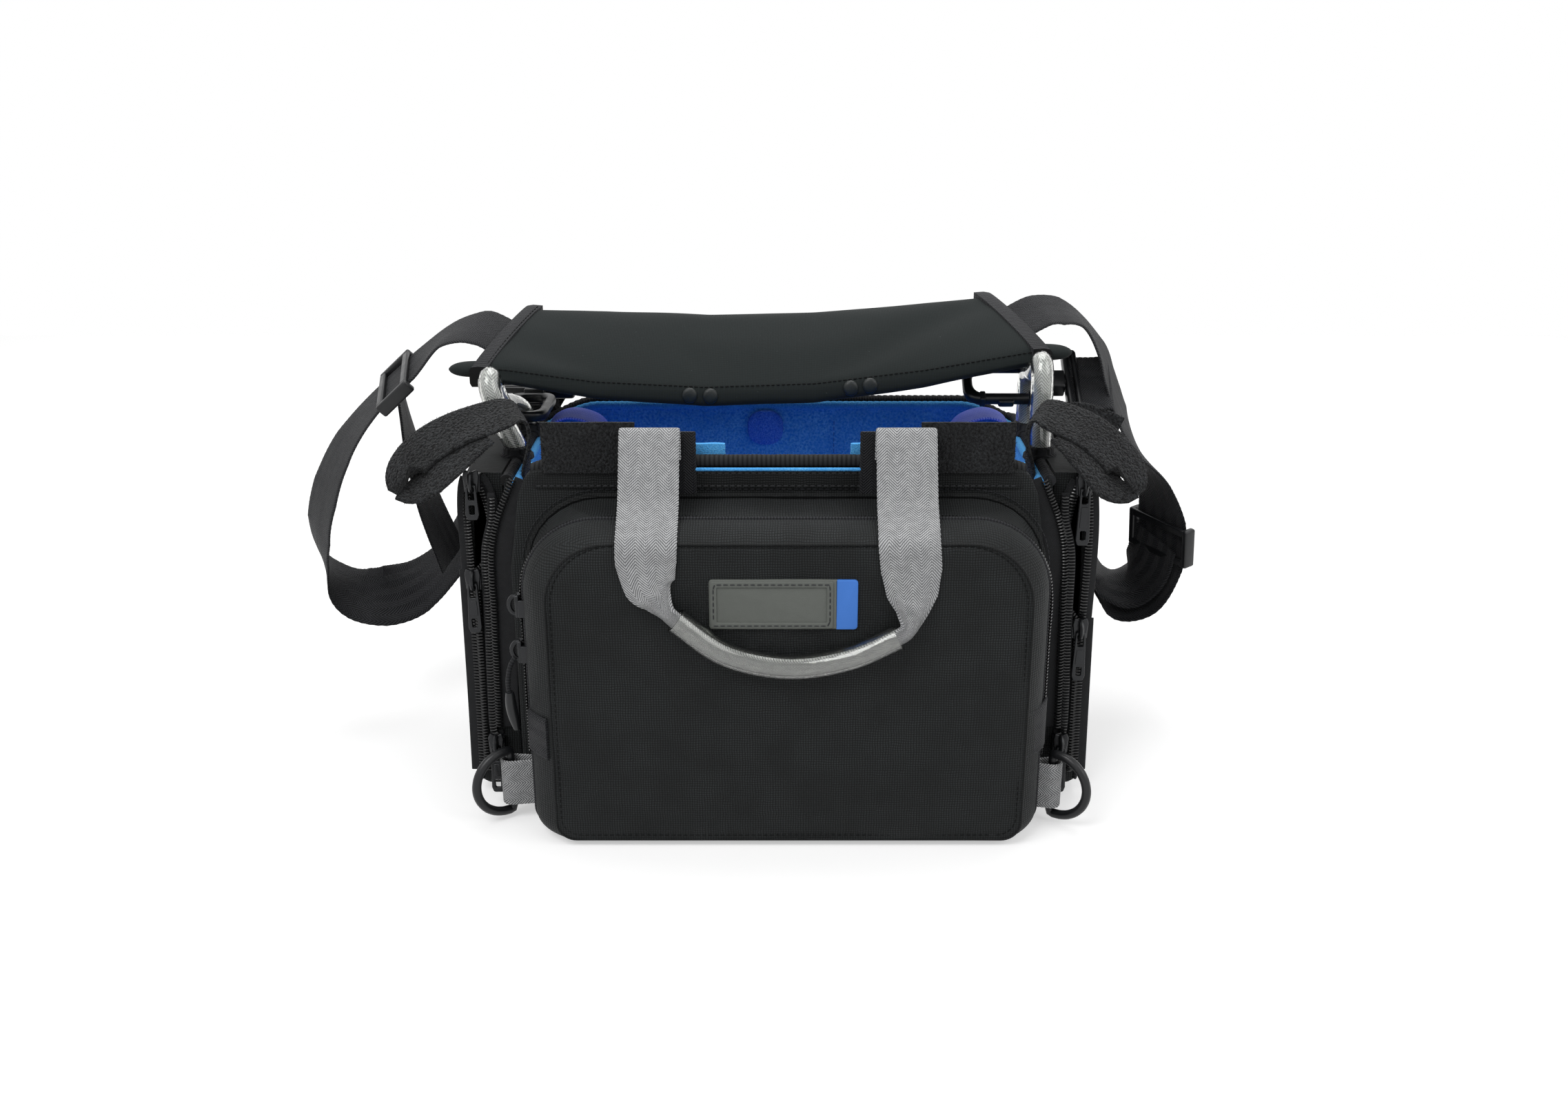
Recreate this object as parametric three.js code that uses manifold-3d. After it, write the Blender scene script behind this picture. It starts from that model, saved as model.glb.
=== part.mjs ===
// Field audio shoulder bag: an open-topped nylon case with a padded blue lining, a front
// pocket, zipped side pockets, a webbing grab handle, side hoops and a padded shoulder strap.
// Millimetres. X runs to the right, Y to the back, Z up. The origin is the middle of the base.

import * as THREE from 'three';
import { mergeVertices } from 'three/addons/utils/BufferGeometryUtils.js';
import Module from 'manifold-3d';

const wasm = await Module();
wasm.setup();

// ---------------------------------------------------------------- driving dimensions

const clearance = 0.3;            // between two pieces that touch
const hingeRoom = 0.4;            // between the front panel and the floor that it folds from

const cavityWidth = 269;          // main compartment, inside the lining
const cavityDepth = 126;
const liningThickness = 2.5;
const wallThickness = 5.5;        // padded nylon wall
const baseThickness = 3;
const floorThickness = 3;
const sideTop = 185;              // height of the side walls' upper edge
const backTop = 195;
const shoulderRun = 28;           // length of the drop from the back edge to the sides
const planCorner = 12;            // rounding of the back corners, seen from above

const frontTop = 192;             // front panel
const frontBottom = 5;
const frontInset = 3.8;           // from the case's side to the panel's edge
const frontCornerInset = 9.8;     // the same at the panel's upper corner
const frontShoulderInset = 27.8;  // where its top edge starts to round off
const frontCornerTop = 178;
const frontPanelThickness = 5.7;
const frontLiningThickness = 2.4;
const rimTop = 198.5;
const rimInset = 3;               // from the shoulder to the rim's end
const rimThickness = 7;

const pocketMargin = { left: 10, right: 2 };   // the front pocket sits a little to the right
const pocketBottom = 5;
const pocketTop = 172.5;
const pocketTopRadius = 38;
const pocketBottomRadius = 10;
const gussetDepth = 20.7;
const zipBandDepth = 6;
const coverDepth = 17.5;
const gussetFlare = 5.5;          // the gusset's top climbs this much to its seam on the panel
const coverRise = 3;              // the cover stands this much above the gusset
const faceInset = { left: 14, right: 11, top: 8.5, radius: 6 };
const coverSlope = [[0, 0], [0.25, 0.05], [0.57, 0.4], [0.86, 0.8], [1, 1]];
const bandInset = 3.3;            // from the gusset's outline to the core behind the zip

const patchWidth = 73;
const patchHeight = 26;
const patchThickness = 1.8;
const patchCentre = [2.7, 137];

const cornerZipCourse = [[44, 8.7], [110, 7.2], [146, 6.2], [163, 2.2], [186, -7.2]]; // z, beyond the case
const cornerZipBottom = 12;
const rowWidth = 3.2;             // one row of coil teeth
const coilThickness = 3;
const chainWidth = 7;             // two rows closed
const toothPitch = 6.4;
const toothShare = 0.66;          // width left between two teeth

const sidePocketStep = 5.6;       // the pocket's front lies this far behind the side walls' edge
const sidePocketBackInset = 5;
const sidePocketBottom = 6;
const sidePocketTop = 186;
const sidePocketReach = 23;       // how far the pocket stands out at its front corner
const sidePocketBulge = 6;
const sidePocketWall = 2.5;
const sideZipReach = 17.7;        // from the case to the zip at the lower slider
const sideZipTopReach = 14.9;     // and at the upper slider
const sideZipSplay = 1.5;         // the zip runs outwards this much towards its foot
const sideZipBottom = 14;

const webbingThickness = 1.6;
const handleWidth = 30;
const handleHalfSpan = 64;        // from the middle to each strip
const handleTopZ = 215;
const handleTubeRadius = 6.5;
const handleTubeBore = 4.9;
const anchorHalfSpan = 56;
const anchorWidth = 29;

const tapeWidth = 25;             // hook-and-loop tape
const tapeThickness = 1.8;

const hoopRadius = 6;
const hoopFootZ = sidePocketTop + clearance;
const strapWidth = 38;
const strapThickness = 1.6;

const hookInner = [38, 17];       // length and width of the hook's opening
const hookRod = 5.5;
const hookThickness = 6;
const swivelPinRadius = 3;

const ringRod = 5;                // rings at the bottom corners
const ringHeight = 40;
const ringReach = 23;
const dividerTabs = { left: [-46, -27], right: [37, 63] };
const strapCaseHalfWidth = 142.8; // the strap's course below is drawn for a case this wide

// ---------------------------------------------------------------- derived places

const cavityX = cavityWidth / 2;
const cavityY = cavityDepth / 2;
const shellInnerX = cavityX + liningThickness + clearance;
const shellInnerY = cavityY + liningThickness + clearance;
const shellX = shellInnerX + wallThickness;
const shellY = shellInnerY + wallThickness;
const shellFloor = baseThickness + clearance;
const liningFloor = shellFloor + floorThickness + clearance;
const sideFront = -cavityY + 1;
const frontLiningBack = sideFront - clearance;
const frontPanelBack = frontLiningBack - frontLiningThickness - clearance;
const frontFace = frontPanelBack - frontPanelThickness;
const gussetFront = frontFace - clearance - gussetDepth;
const coverBack = gussetFront - clearance - zipBandDepth;
const coverFace = coverBack - coverDepth;
const flangeFront = sideFront - 0.6;
const cornerZipFront = flangeFront - clearance - coilThickness;
const sidePocketX = shellX + clearance;
const sidePocketFront = sideFront + sidePocketStep;
const sidePocketBack = cavityY - sidePocketBackInset;
const sideZipFront = sidePocketFront - clearance - coilThickness;
const sideZipX = sidePocketX + sideZipReach;
const sideZipTopX = sidePocketX + sideZipTopReach;
const frontHalfWidth = shellX - frontInset;
const frontCornerHalfWidth = shellX - frontCornerInset;
const frontShoulder = shellX - frontShoulderInset;
const rimHalfWidth = frontShoulder - rimInset;
const pocketLeft = pocketMargin.left - frontHalfWidth;
const pocketRight = frontHalfWidth - pocketMargin.right;
const cornerZipLine = cornerZipCourse.map(([z, beyond]) => [z, shellX + beyond]);
const caseGrowth = shellX - strapCaseHalfWidth;

// ---------------------------------------------------------------- finishes

const finish = (color, roughness, metalness = 0) =>
  new THREE.MeshStandardMaterial({ color, roughness, metalness });
const blackNylon = finish(0x1c1c1d, 0.85);
const blackWebbing = finish(0x191919, 0.8);
const blackCoil = finish(0x101010, 0.45);
const blackPlastic = finish(0x17181a, 0.4);
const neoprene = finish(0x1f2323, 0.9);
const loopTape = finish(0x131313, 0.95);
const blueFleece = finish(0x2f86cf, 0.95);
const blueWebbing = finish(0x3f48c8, 0.7);
const greyWebbing = finish(0x8b8d90, 0.7);
const clearTube = finish(0xc9cdd0, 0.15);
const rubberPatch = finish(0x3a3d3f, 0.6);
const zincAlloy = finish(0x2a2b2d, 0.3, 0.8);

const bag = new THREE.Group();

function add(name, geometry, material) {
  const mesh = new THREE.Mesh(geometry, material);
  mesh.name = name;
  bag.add(mesh);
  return mesh;
}

// ---------------------------------------------------------------- solids

const v = (x, y, z) => new THREE.Vector3(x, y, z);

function positionsOnly(geometry) {
  const bare = geometry.clone();
  bare.deleteAttribute('normal');
  bare.deleteAttribute('uv');
  return mergeVertices(bare, 1e-4);
}

function signedVolume(geometry) {
  const at = geometry.getAttribute('position');
  const index = geometry.getIndex();
  const [a, b, c] = [v(0, 0, 0), v(0, 0, 0), v(0, 0, 0)];
  let volume = 0;
  for (let i = 0; i < index.count; i += 3) {
    a.fromBufferAttribute(at, index.getX(i));
    b.fromBufferAttribute(at, index.getX(i + 1));
    c.fromBufferAttribute(at, index.getX(i + 2));
    volume += a.dot(b.cross(c));
  }
  return volume;
}

function outward(geometry) {
  const closed = positionsOnly(geometry);
  if (signedVolume(closed) < 0) closed.setIndex([...closed.getIndex().array].reverse());
  return closed;
}

function toSolid(geometry) {
  const closed = outward(geometry);
  const vertProperties = new Float32Array(closed.getAttribute('position').array);
  const triVerts = new Uint32Array(closed.getIndex().array);
  return new wasm.Manifold(new wasm.Mesh({ numProp: 3, vertProperties, triVerts }));
}

function fromSolid(solid) {
  const mesh = solid.getMesh();
  const geometry = new THREE.BufferGeometry();
  geometry.setAttribute('position', new THREE.BufferAttribute(mesh.vertProperties, 3));
  geometry.setIndex(new THREE.BufferAttribute(mesh.triVerts, 1));
  return geometry;
}

const join = (...pieces) => fromSolid(pieces.map(toSolid).reduce((a, b) => a.add(b)));
const cut = (piece, ...tools) =>
  fromSolid(tools.map(toSolid).reduce((a, b) => a.subtract(b), toSolid(piece)));
const common = (a, b) => fromSolid(toSolid(a).intersect(toSolid(b)));

// a closed body through rings of equally many points
function loft(rings) {
  const count = rings[0].length;
  const positions = rings.flat().flatMap((p) => [p.x, p.y, p.z]);
  const index = [];
  for (let r = 0; r < rings.length - 1; r++) {
    for (let i = 0; i < count; i++) {
      const j = (i + 1) % count;
      const [a, b] = [r * count + i, r * count + j];
      index.push(a, b, b + count, a, b + count, a + count);
    }
  }
  const last = (rings.length - 1) * count;
  for (let i = 1; i < count - 1; i++) {
    index.push(0, i + 1, i);
    index.push(last, last + i, last + i + 1);
  }
  const geometry = new THREE.BufferGeometry();
  geometry.setAttribute('position', new THREE.Float32BufferAttribute(positions, 3));
  geometry.setIndex(index);
  return outward(geometry);
}

// a box from its lowest corner to its highest
function block(low, high) {
  const size = high.map((h, i) => h - low[i]);
  const middle = high.map((h, i) => (h + low[i]) / 2);
  return new THREE.BoxGeometry(...size).translate(...middle);
}

// an outline drawn in X and Z, made thick along Y
function panel(shape, front, back, rounding = 0, curveSegments = 3, bevelSegments = 2) {
  const options = { depth: back - front - 2 * rounding, curveSegments, bevelEnabled: rounding > 0 };
  if (rounding > 0) {
    Object.assign(options, {
      bevelThickness: rounding, bevelSize: rounding, bevelOffset: -rounding, bevelSegments,
    });
  }
  return new THREE.ExtrudeGeometry(shape, options)
    .translate(0, 0, rounding).rotateX(Math.PI / 2).translate(0, back, 0);
}

// an outline drawn in X and Y, made thick along Z
function slab(shape, bottom, top, curveSegments = 6) {
  return new THREE.ExtrudeGeometry(shape, { depth: top - bottom, curveSegments, bevelEnabled: false })
    .translate(0, 0, bottom);
}

function roundedBox(left, bottom, right, top, topRadius, bottomRadius = topRadius) {
  const shape = new THREE.Shape();
  shape.moveTo(left + bottomRadius, bottom);
  shape.lineTo(right - bottomRadius, bottom);
  shape.absarc(right - bottomRadius, bottom + bottomRadius, bottomRadius, -Math.PI / 2, 0);
  shape.lineTo(right, top - topRadius);
  shape.absarc(right - topRadius, top - topRadius, topRadius, 0, Math.PI / 2);
  shape.lineTo(left + topRadius, top);
  shape.absarc(left + topRadius, top - topRadius, topRadius, Math.PI / 2, Math.PI);
  shape.lineTo(left, bottom + bottomRadius);
  shape.absarc(left + bottomRadius, bottom + bottomRadius, bottomRadius, Math.PI, 1.5 * Math.PI);
  return shape;
}

// the points of a rounded box at a depth, for a loft from the front to the back
function boxRing(y, left, bottom, right, top, topRadius, bottomRadius, steps = 5) {
  const corners = [
    [right - bottomRadius, bottom + bottomRadius, bottomRadius, -90],
    [right - topRadius, top - topRadius, topRadius, 0],
    [left + topRadius, top - topRadius, topRadius, 90],
    [left + bottomRadius, bottom + bottomRadius, bottomRadius, 180],
  ];
  return corners.flatMap(([x, z, radius, from]) => Array.from({ length: steps + 1 }, (_, i) => {
    const turn = (from + 90 * i / steps) * Math.PI / 180;
    return v(x + radius * Math.cos(turn), y, z + radius * Math.sin(turn));
  }));
}

// ---------------------------------------------------------------- bands along a route

// route rows: x, y, z, then the direction of the band's width, then an optional width and thickness
function stations(route, steps, width, thickness) {
  const line = new THREE.CatmullRomCurve3(route.map((r) => v(r[0], r[1], r[2])), false, 'centripetal');
  const along = (t, pick) => {
    const place = t * (route.length - 1);
    const i = Math.min(Math.floor(place), route.length - 2);
    const share = place - i;
    return pick(route[i]) * (1 - share) + pick(route[i + 1]) * share;
  };
  return Array.from({ length: steps + 1 }, (_, s) => {
    const t = s / steps;
    const tangent = line.getTangent(t);
    const across = v(along(t, (r) => r[3]), along(t, (r) => r[4]), along(t, (r) => r[5]));
    across.addScaledVector(tangent, -across.dot(tangent)).normalize();
    return {
      at: line.getPoint(t),
      across,
      face: v(0, 0, 0).crossVectors(tangent, across),
      width: along(t, (r) => r[6] ?? width),
      thickness: along(t, (r) => r[7] ?? thickness),
    };
  });
}

const bandPoint = ({ at, across, face, width, thickness }, a, b) =>
  at.clone().addScaledVector(across, a * width / 2).addScaledVector(face, b * thickness / 2);

const bandRing = (station) =>
  [[-1, -1], [1, -1], [1, 1], [-1, 1]].map(([a, b]) => bandPoint(station, a, b));

const webbing = (route, steps, width, thickness = webbingThickness) =>
  loft(stations(route, steps, width, thickness).map(bandRing));

// a band whose corners are cut off, for webbing that rolls up into a cord
const softProfile = [
  [-0.72, -1], [0.72, -1], [1, -0.5], [1, 0.5], [0.72, 1], [-0.72, 1], [-1, 0.5], [-1, -0.5],
];
const softRing = (station) => softProfile.map(([a, b]) => bandPoint(station, a, b));

// a row of zip teeth: the band narrows between one tooth and the next
function teeth(route, width, thickness = coilThickness) {
  const line = new THREE.CatmullRomCurve3(route.map((r) => v(r[0], r[1], r[2])), false, 'centripetal');
  const steps = 2 * Math.max(2, Math.round(line.getLength() / toothPitch));
  const rings = stations(route, steps, width, thickness).map((s, i) => {
    const share = i % 2 ? toothShare : 1;
    return bandRing({ ...s, width: s.width * share, thickness: s.thickness * share });
  });
  return loft(rings);
}

function rod(points, radius, sides, steps, bore = 0) {
  const shape = new THREE.Shape();
  shape.absarc(0, 0, radius, 0, 2 * Math.PI);
  if (bore) {
    const hole = new THREE.Path();
    hole.absarc(0, 0, bore, 0, 2 * Math.PI);
    shape.holes.push(hole);
  }
  const extrudePath = new THREE.CatmullRomCurve3(points.map((p) => v(...p)), false, 'centripetal');
  return new THREE.ExtrudeGeometry(shape, { steps, curveSegments: sides, extrudePath, bevelEnabled: false });
}

// places a piece made at the origin: its x and y axes go to the two directions given
function placed(geometry, at, xAxis, yAxis) {
  const x = v(...xAxis).normalize();
  const z = v(0, 0, 0).crossVectors(x, v(...yAxis)).normalize();
  const y = v(0, 0, 0).crossVectors(z, x);
  const matrix = new THREE.Matrix4().makeBasis(x, y, z).setPosition(...at);
  return geometry.clone().applyMatrix4(matrix);
}

// ---------------------------------------------------------------- main case

// the walls seen from above: two sides and a back with rounded corners, open in front
function wallsPlan(halfWidth, back, front, thickness) {
  const innerRadius = planCorner - thickness / 2;
  const innerX = halfWidth - thickness;
  const innerY = back - thickness;
  const shape = new THREE.Shape();
  shape.moveTo(-halfWidth, front);
  shape.lineTo(-innerX, front);
  shape.lineTo(-innerX, innerY - innerRadius);
  shape.absarc(-innerX + innerRadius, innerY - innerRadius, innerRadius, Math.PI, Math.PI / 2, true);
  shape.lineTo(innerX - innerRadius, innerY);
  shape.absarc(innerX - innerRadius, innerY - innerRadius, innerRadius, Math.PI / 2, 0, true);
  shape.lineTo(innerX, front);
  shape.lineTo(halfWidth, front);
  shape.lineTo(halfWidth, back - planCorner);
  shape.absarc(halfWidth - planCorner, back - planCorner, planCorner, 0, Math.PI / 2);
  shape.lineTo(-halfWidth + planCorner, back);
  shape.absarc(-halfWidth + planCorner, back - planCorner, planCorner, Math.PI / 2, Math.PI);
  return shape;
}

// the walls seen from the front: the back edge drops to the sides in a soft shoulder
function wallsElevation(halfWidth, bottom, drop) {
  const level = cavityX - 0.5;
  const shape = new THREE.Shape();
  shape.moveTo(-halfWidth, bottom);
  shape.lineTo(halfWidth, bottom);
  shape.lineTo(halfWidth, sideTop - drop);
  shape.lineTo(level, sideTop - drop);
  shape.quadraticCurveTo(level - shoulderRun / 4, backTop - drop, level - shoulderRun, backTop - drop);
  shape.lineTo(shoulderRun - level, backTop - drop);
  shape.quadraticCurveTo(shoulderRun / 4 - level, backTop - drop, -level, sideTop - drop);
  shape.lineTo(-halfWidth, sideTop - drop);
  return shape;
}

function wallsAndFloor(halfWidth, back, thickness, bottom, floor, floorFront, drop) {
  const walls = slab(wallsPlan(halfWidth, back, sideFront, thickness), bottom, backTop, 4);
  const sheet = roundedBox(-halfWidth + 0.5, floorFront, halfWidth - 0.5, back - 0.5, planCorner - 0.5, 1);
  const outline = panel(wallsElevation(halfWidth + 1, bottom, drop), floorFront - 1, back + 1);
  return common(join(walls, slab(sheet, bottom, bottom + floor, 4)), outline);
}

// the corner that carries the zip beside the front panel
function cornerFlange(side) {
  const low = cornerZipBottom;
  const shape = new THREE.Shape();
  shape.moveTo(side * (shellX - 2), low);
  shape.lineTo(side * (cornerZipLine[0][1] + 5), low);
  cornerZipLine.slice(0, -1).forEach(([z, x]) => shape.lineTo(side * (x + 5), z));
  shape.lineTo(side * (shellX - 2), cornerZipLine.at(-2)[0]);
  return panel(shape, flangeFront, flangeFront + 2.4);
}

function buildCase() {
  const shell = wallsAndFloor(shellX, shellY, wallThickness, shellFloor, floorThickness,
    frontPanelBack + hingeRoom, 0);
  add('body_shell', join(shell, cornerFlange(1), cornerFlange(-1)), blackNylon);
  add('blue_lining', wallsAndFloor(cavityX + liningThickness, cavityY + liningThickness, liningThickness,
    liningFloor, liningThickness, sideFront, 1.5), blueFleece);
  const base = roundedBox(-shellX + 8, sideFront + 4, shellX - 8, shellY - 4, 10);
  add('base_panel', slab(base, 0, baseThickness, 3), blackNylon);
}

// ---------------------------------------------------------------- front panel

function frontOutline() {
  const shape = new THREE.Shape();
  const r = pocketBottomRadius;
  shape.moveTo(-frontHalfWidth + r, frontBottom);
  shape.lineTo(frontHalfWidth - r, frontBottom);
  shape.absarc(frontHalfWidth - r, frontBottom + r, r, -Math.PI / 2, 0);
  shape.lineTo(frontHalfWidth, cornerZipLine.at(-2)[0] - 8);
  shape.lineTo(frontCornerHalfWidth, frontCornerTop);
  shape.quadraticCurveTo(frontCornerHalfWidth - 6, frontTop, frontShoulder, frontTop);
  shape.lineTo(-frontShoulder, frontTop);
  shape.quadraticCurveTo(6 - frontCornerHalfWidth, frontTop, -frontCornerHalfWidth, frontCornerTop);
  shape.lineTo(-frontHalfWidth, cornerZipLine.at(-2)[0] - 8);
  shape.lineTo(-frontHalfWidth, frontBottom + r);
  shape.absarc(-frontHalfWidth + r, frontBottom + r, r, Math.PI, 1.5 * Math.PI);
  return shape;
}

// the strip between the panel and its row of corner zip teeth
function frontStrip(side) {
  const edge = rowWidth / 2 + clearance;
  const shape = new THREE.Shape();
  shape.moveTo(side * (frontHalfWidth - 2), cornerZipLine[0][0]);
  cornerZipLine.slice(0, -1).forEach(([z, x]) => shape.lineTo(side * (x - edge), z));
  shape.lineTo(side * (frontHalfWidth - 4), cornerZipLine.at(-2)[0]);
  return panel(shape, cornerZipFront + 0.1, cornerZipFront + coilThickness - 0.4);
}

// the zip runs up one side of the pocket, over its top and down the other side
function pocketZipRoute() {
  const out = clearance + coilThickness / 2 - bandInset;
  const radius = pocketTopRadius + out;
  const top = pocketTop + out;
  const y = gussetFront - clearance - zipBandDepth / 2;
  const half = (edge, side) => [
    [edge, pocketBottom + 40], [edge, (pocketBottom + top) / 2],
    ...[0, 22.5, 45, 67.5, 90].map((degrees) => {
      const turn = degrees * Math.PI / 180;
      return [edge + side * radius * (Math.cos(turn) - 1), top + radius * (Math.sin(turn) - 1)];
    }),
  ];
  const arch = [...half(pocketRight + out, 1), [0, top], ...half(pocketLeft - out, -1).reverse()];
  return arch.map(([x, z]) => [x, y, z, 0, 1, 0]);
}

function buildFront() {
  const panelSolid = panel(frontOutline(), frontFace, frontPanelBack, 0, 4);
  add('front_panel', join(panelSolid, frontStrip(1), frontStrip(-1)), blackNylon);

  const liningTop = frontTop - 1;
  const lining = roundedBox(-cavityX, liningFloor + 1, cavityX, liningTop, 14, 6);
  const liningFront = frontPanelBack + clearance;
  add('front_lining', panel(lining, liningFront, liningFront + frontLiningThickness, 0, 4), blueFleece);

  const rim = roundedBox(-rimHalfWidth, frontTop + clearance, rimHalfWidth, rimTop, 2.8);
  add('front_rim', panel(rim, frontFace + 0.8, frontFace + 0.8 + rimThickness, 0, 3), blackWebbing);

  const gussetRing = (y, top) => boxRing(y, pocketLeft, pocketBottom, pocketRight, top,
    pocketTopRadius, pocketBottomRadius);
  const gusset = loft([gussetRing(gussetFront, pocketTop),
    gussetRing(gussetFront + gussetDepth, pocketTop + gussetFlare)]);
  add('front_pocket_gusset', gusset, blackNylon);

  const core = roundedBox(pocketLeft + bandInset, pocketBottom + bandInset, pocketRight - bandInset,
    pocketTop - bandInset, pocketTopRadius - bandInset, 6);
  const cover = loft(coverSlope.map(([depth, share]) => boxRing(
    coverBack - depth * coverDepth, pocketLeft + share * faceInset.left, pocketBottom - 1,
    pocketRight - share * faceInset.right, pocketTop + coverRise - share * faceInset.top,
    pocketTopRadius - share * faceInset.radius, pocketBottomRadius)));
  add('front_pocket_cover', join(panel(core, coverBack - 1, coverBack + zipBandDepth, 0, 4), cover),
    blackNylon);

  add('front_pocket_zip', teeth(pocketZipRoute(), zipBandDepth - 1), blackCoil);

  const [patchX, patchZ] = patchCentre;
  const patch = roundedBox(patchX - patchWidth / 2, patchZ - patchHeight / 2, patchX + patchWidth / 2,
    patchZ + patchHeight / 2, 2);
  const patchBack = coverFace - clearance;
  add('blank_patch', panel(patch, patchBack - patchThickness, patchBack, 0.5, 3, 1), rubberPatch);
}

// ---------------------------------------------------------------- tape tabs and handle

function buildTabs(side, name) {
  const tabFront = frontFace - clearance - tapeThickness;
  const tab = roundedBox(Math.min(side * 72, side * 119.5), frontTop - 2, Math.max(side * 72, side * 119.5),
    frontTop - 2 + tapeWidth + 2, 1);
  add(`rim_tape_tab_${name}`, panel(tab, tabFront, tabFront + tapeThickness, 0, 1), loopTape);

  const innerTab = dividerTabs[name];
  const blue = roundedBox(innerTab[0], frontTop - 20, innerTab[1], rimTop + 5, 2);
  const blueFront = frontLiningBack + clearance;
  add(`divider_tab_${name}`, panel(blue, blueFront, blueFront + tapeThickness, 0, 1), blueFleece);

  const anchorFront = frontFace - clearance - webbingThickness;
  const anchorX = side * anchorHalfSpan;
  const anchor = roundedBox(anchorX - anchorWidth / 2, pocketTop + gussetFlare + 1,
    anchorX + anchorWidth / 2, handleTopZ - 3, 1);
  const anchorPanel = panel(anchor, anchorFront, anchorFront + webbingThickness, 0, 1);
  add(`handle_anchor_${name}`, anchorPanel, blackWebbing);
}

const handleStart = frontFace - 2 * clearance - tapeThickness - webbingThickness / 2;
const tubeLevel = coverFace - clearance - handleTubeRadius - patchThickness;
const tubeRoute = [
  [-50, tubeLevel, 131], [-26, tubeLevel, 113], [6, tubeLevel, 106],
  [36, tubeLevel, 111], [59, tubeLevel, 122],
];
const tubeLeads = [[-53.5, tubeLevel, 135.5], [62.5, tubeLevel, 124.5]];

function handleRoute() {
  const flat = [handleWidth, webbingThickness];
  const rolled = [2 * handleTubeBore - 2.8, 2 * handleTubeBore - 4.4];
  const edgeZ = pocketTop + coverRise;
  const strip = (side, spread) => [
    [handleStart, handleTopZ - 17, 0], [handleStart - 0.4, handleTopZ - 4, 0],
    [handleStart - 4.6, handleTopZ, 0], [handleStart - 9, handleTopZ - 5, 0],
    [coverBack + 6, edgeZ + 17.5, 0], [coverBack, edgeZ + 7.5, 0], [coverBack - 6.5, edgeZ + 1.9, 0],
    [coverBack - 13, edgeZ - 2.6, 0], [coverFace - 1.7, edgeZ - 8.2, 0], [-118.3, 160, spread],
  ].map(([y, z, out]) => [side * (handleHalfSpan + out), y, z, -side, 0, 0, ...flat])
    .concat([[side * (handleHalfSpan + spread - 2), coverFace - 4.5, 147, -side, 0, 0, 20, 4]]);
  const middle = [tubeLeads[0], ...tubeRoute, tubeLeads[1]]
    .map(([x, y, z]) => [x, y, z, 0, 0, 1, ...rolled]);
  return [...strip(-1, 0), ...middle, ...strip(1, 1).reverse()];
}

function buildHandle() {
  const band = stations(handleRoute(), 50, handleWidth, webbingThickness);
  add('handle_webbing', loft(band.map(softRing)), greyWebbing);
  add('handle_tube', rod(tubeRoute, handleTubeRadius, 5, 12, handleTubeBore), clearTube);
}

// ---------------------------------------------------------------- zips and their sliders

function cornerRow(side, offset) {
  const y = cornerZipFront + coilThickness / 2;
  return cornerZipLine.map(([z, x]) => [side * (x + offset), y, z, 1, 0, 0]);
}

function buildCornerZip(side, name) {
  add(`corner_zip_front_row_${name}`, teeth(cornerRow(side, 0), rowWidth), blackCoil);
  const offset = rowWidth + clearance + 0.2;
  const [foot, footX] = cornerZipLine[0];
  const y = cornerZipFront + coilThickness / 2;
  const closed = [
    [side * (footX + offset / 2), y, cornerZipBottom, 1, 0, 0, chainWidth],
    [side * (footX + offset / 2), y, foot - clearance - 1, 1, 0, 0, chainWidth],
  ];
  const open = cornerRow(side, offset);
  const upper = open.slice(0, -1);
  upper.push([open.at(-2)[0] - side, y, open.at(-2)[2] + 14, 1, 0, 0]);
  const lead = [upper[0][0], y, foot - 2.5, 1, 0, 0];
  const chain = join(teeth(closed, chainWidth), teeth([lead, ...upper], rowWidth));
  add(`corner_zip_side_row_${name}`, chain, blackCoil);
}

// the two rows part around an eye between the two sliders, and close below it
const eyes = {
  left: { low: 132, high: 183, inner: sidePocketX + 8.4, outer: sideZipX },
  right: { low: 104, high: 181, inner: sidePocketX + 8.4, outer: sideZipX + 0.7 },
};

function eyeEdge(side, eye, edge, offset) {
  return [0, 0.18, 0.5, 0.82, 1].map((t) => {
    const straight = sideZipX + (sideZipTopX - sideZipX) * t;
    const parting = Math.sin(Math.PI * t) ** 0.6;
    const x = straight + (edge - straight) * parting + offset;
    return [side * x, eye.low + t * (eye.high - eye.low)];
  });
}

function sideZip(side, eye) {
  const y = sideZipFront + coilThickness / 2;
  const row = (edge, offset) =>
    teeth(eyeEdge(side, eye, edge, offset).map(([x, z]) => [x, y, z, 1, 0, 0]), rowWidth);
  const lower = teeth([[side * (sideZipX + sideZipSplay), y, sideZipBottom, 1, 0, 0],
    [side * sideZipX, y, eye.low + 2, 1, 0, 0]], chainWidth);
  const stop = block([side * sideZipTopX - 3, sideZipFront, eye.high - 2],
    [side * sideZipTopX + 3, sideZipFront + coilThickness, eye.high + 2]);
  const gap = rowWidth / 2;
  return join(lower, row(eye.inner, -gap), row(eye.outer, gap), stop);
}

function eyeOpening(side, eye) {
  const shape = new THREE.Shape();
  const inner = eyeEdge(side, eye, eye.inner, 0);
  const outer = eyeEdge(side, eye, eye.outer, 0).reverse().slice(1, -1);
  shape.moveTo(...inner[0]);
  shape.splineThru(inner.slice(1).map(([x, z]) => new THREE.Vector2(x, z)));
  shape.splineThru(outer.map(([x, z]) => new THREE.Vector2(x, z)));
  return panel(shape, sidePocketFront - 1, sidePocketFront + sidePocketWall + 1, 0, 3);
}

const sliderWidth = 8.4;
const sliderLength = 13;
const sliderThickness = 3.4;
const pullDrop = 2.2;             // from the slider's middle to the pull's ring end

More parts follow.
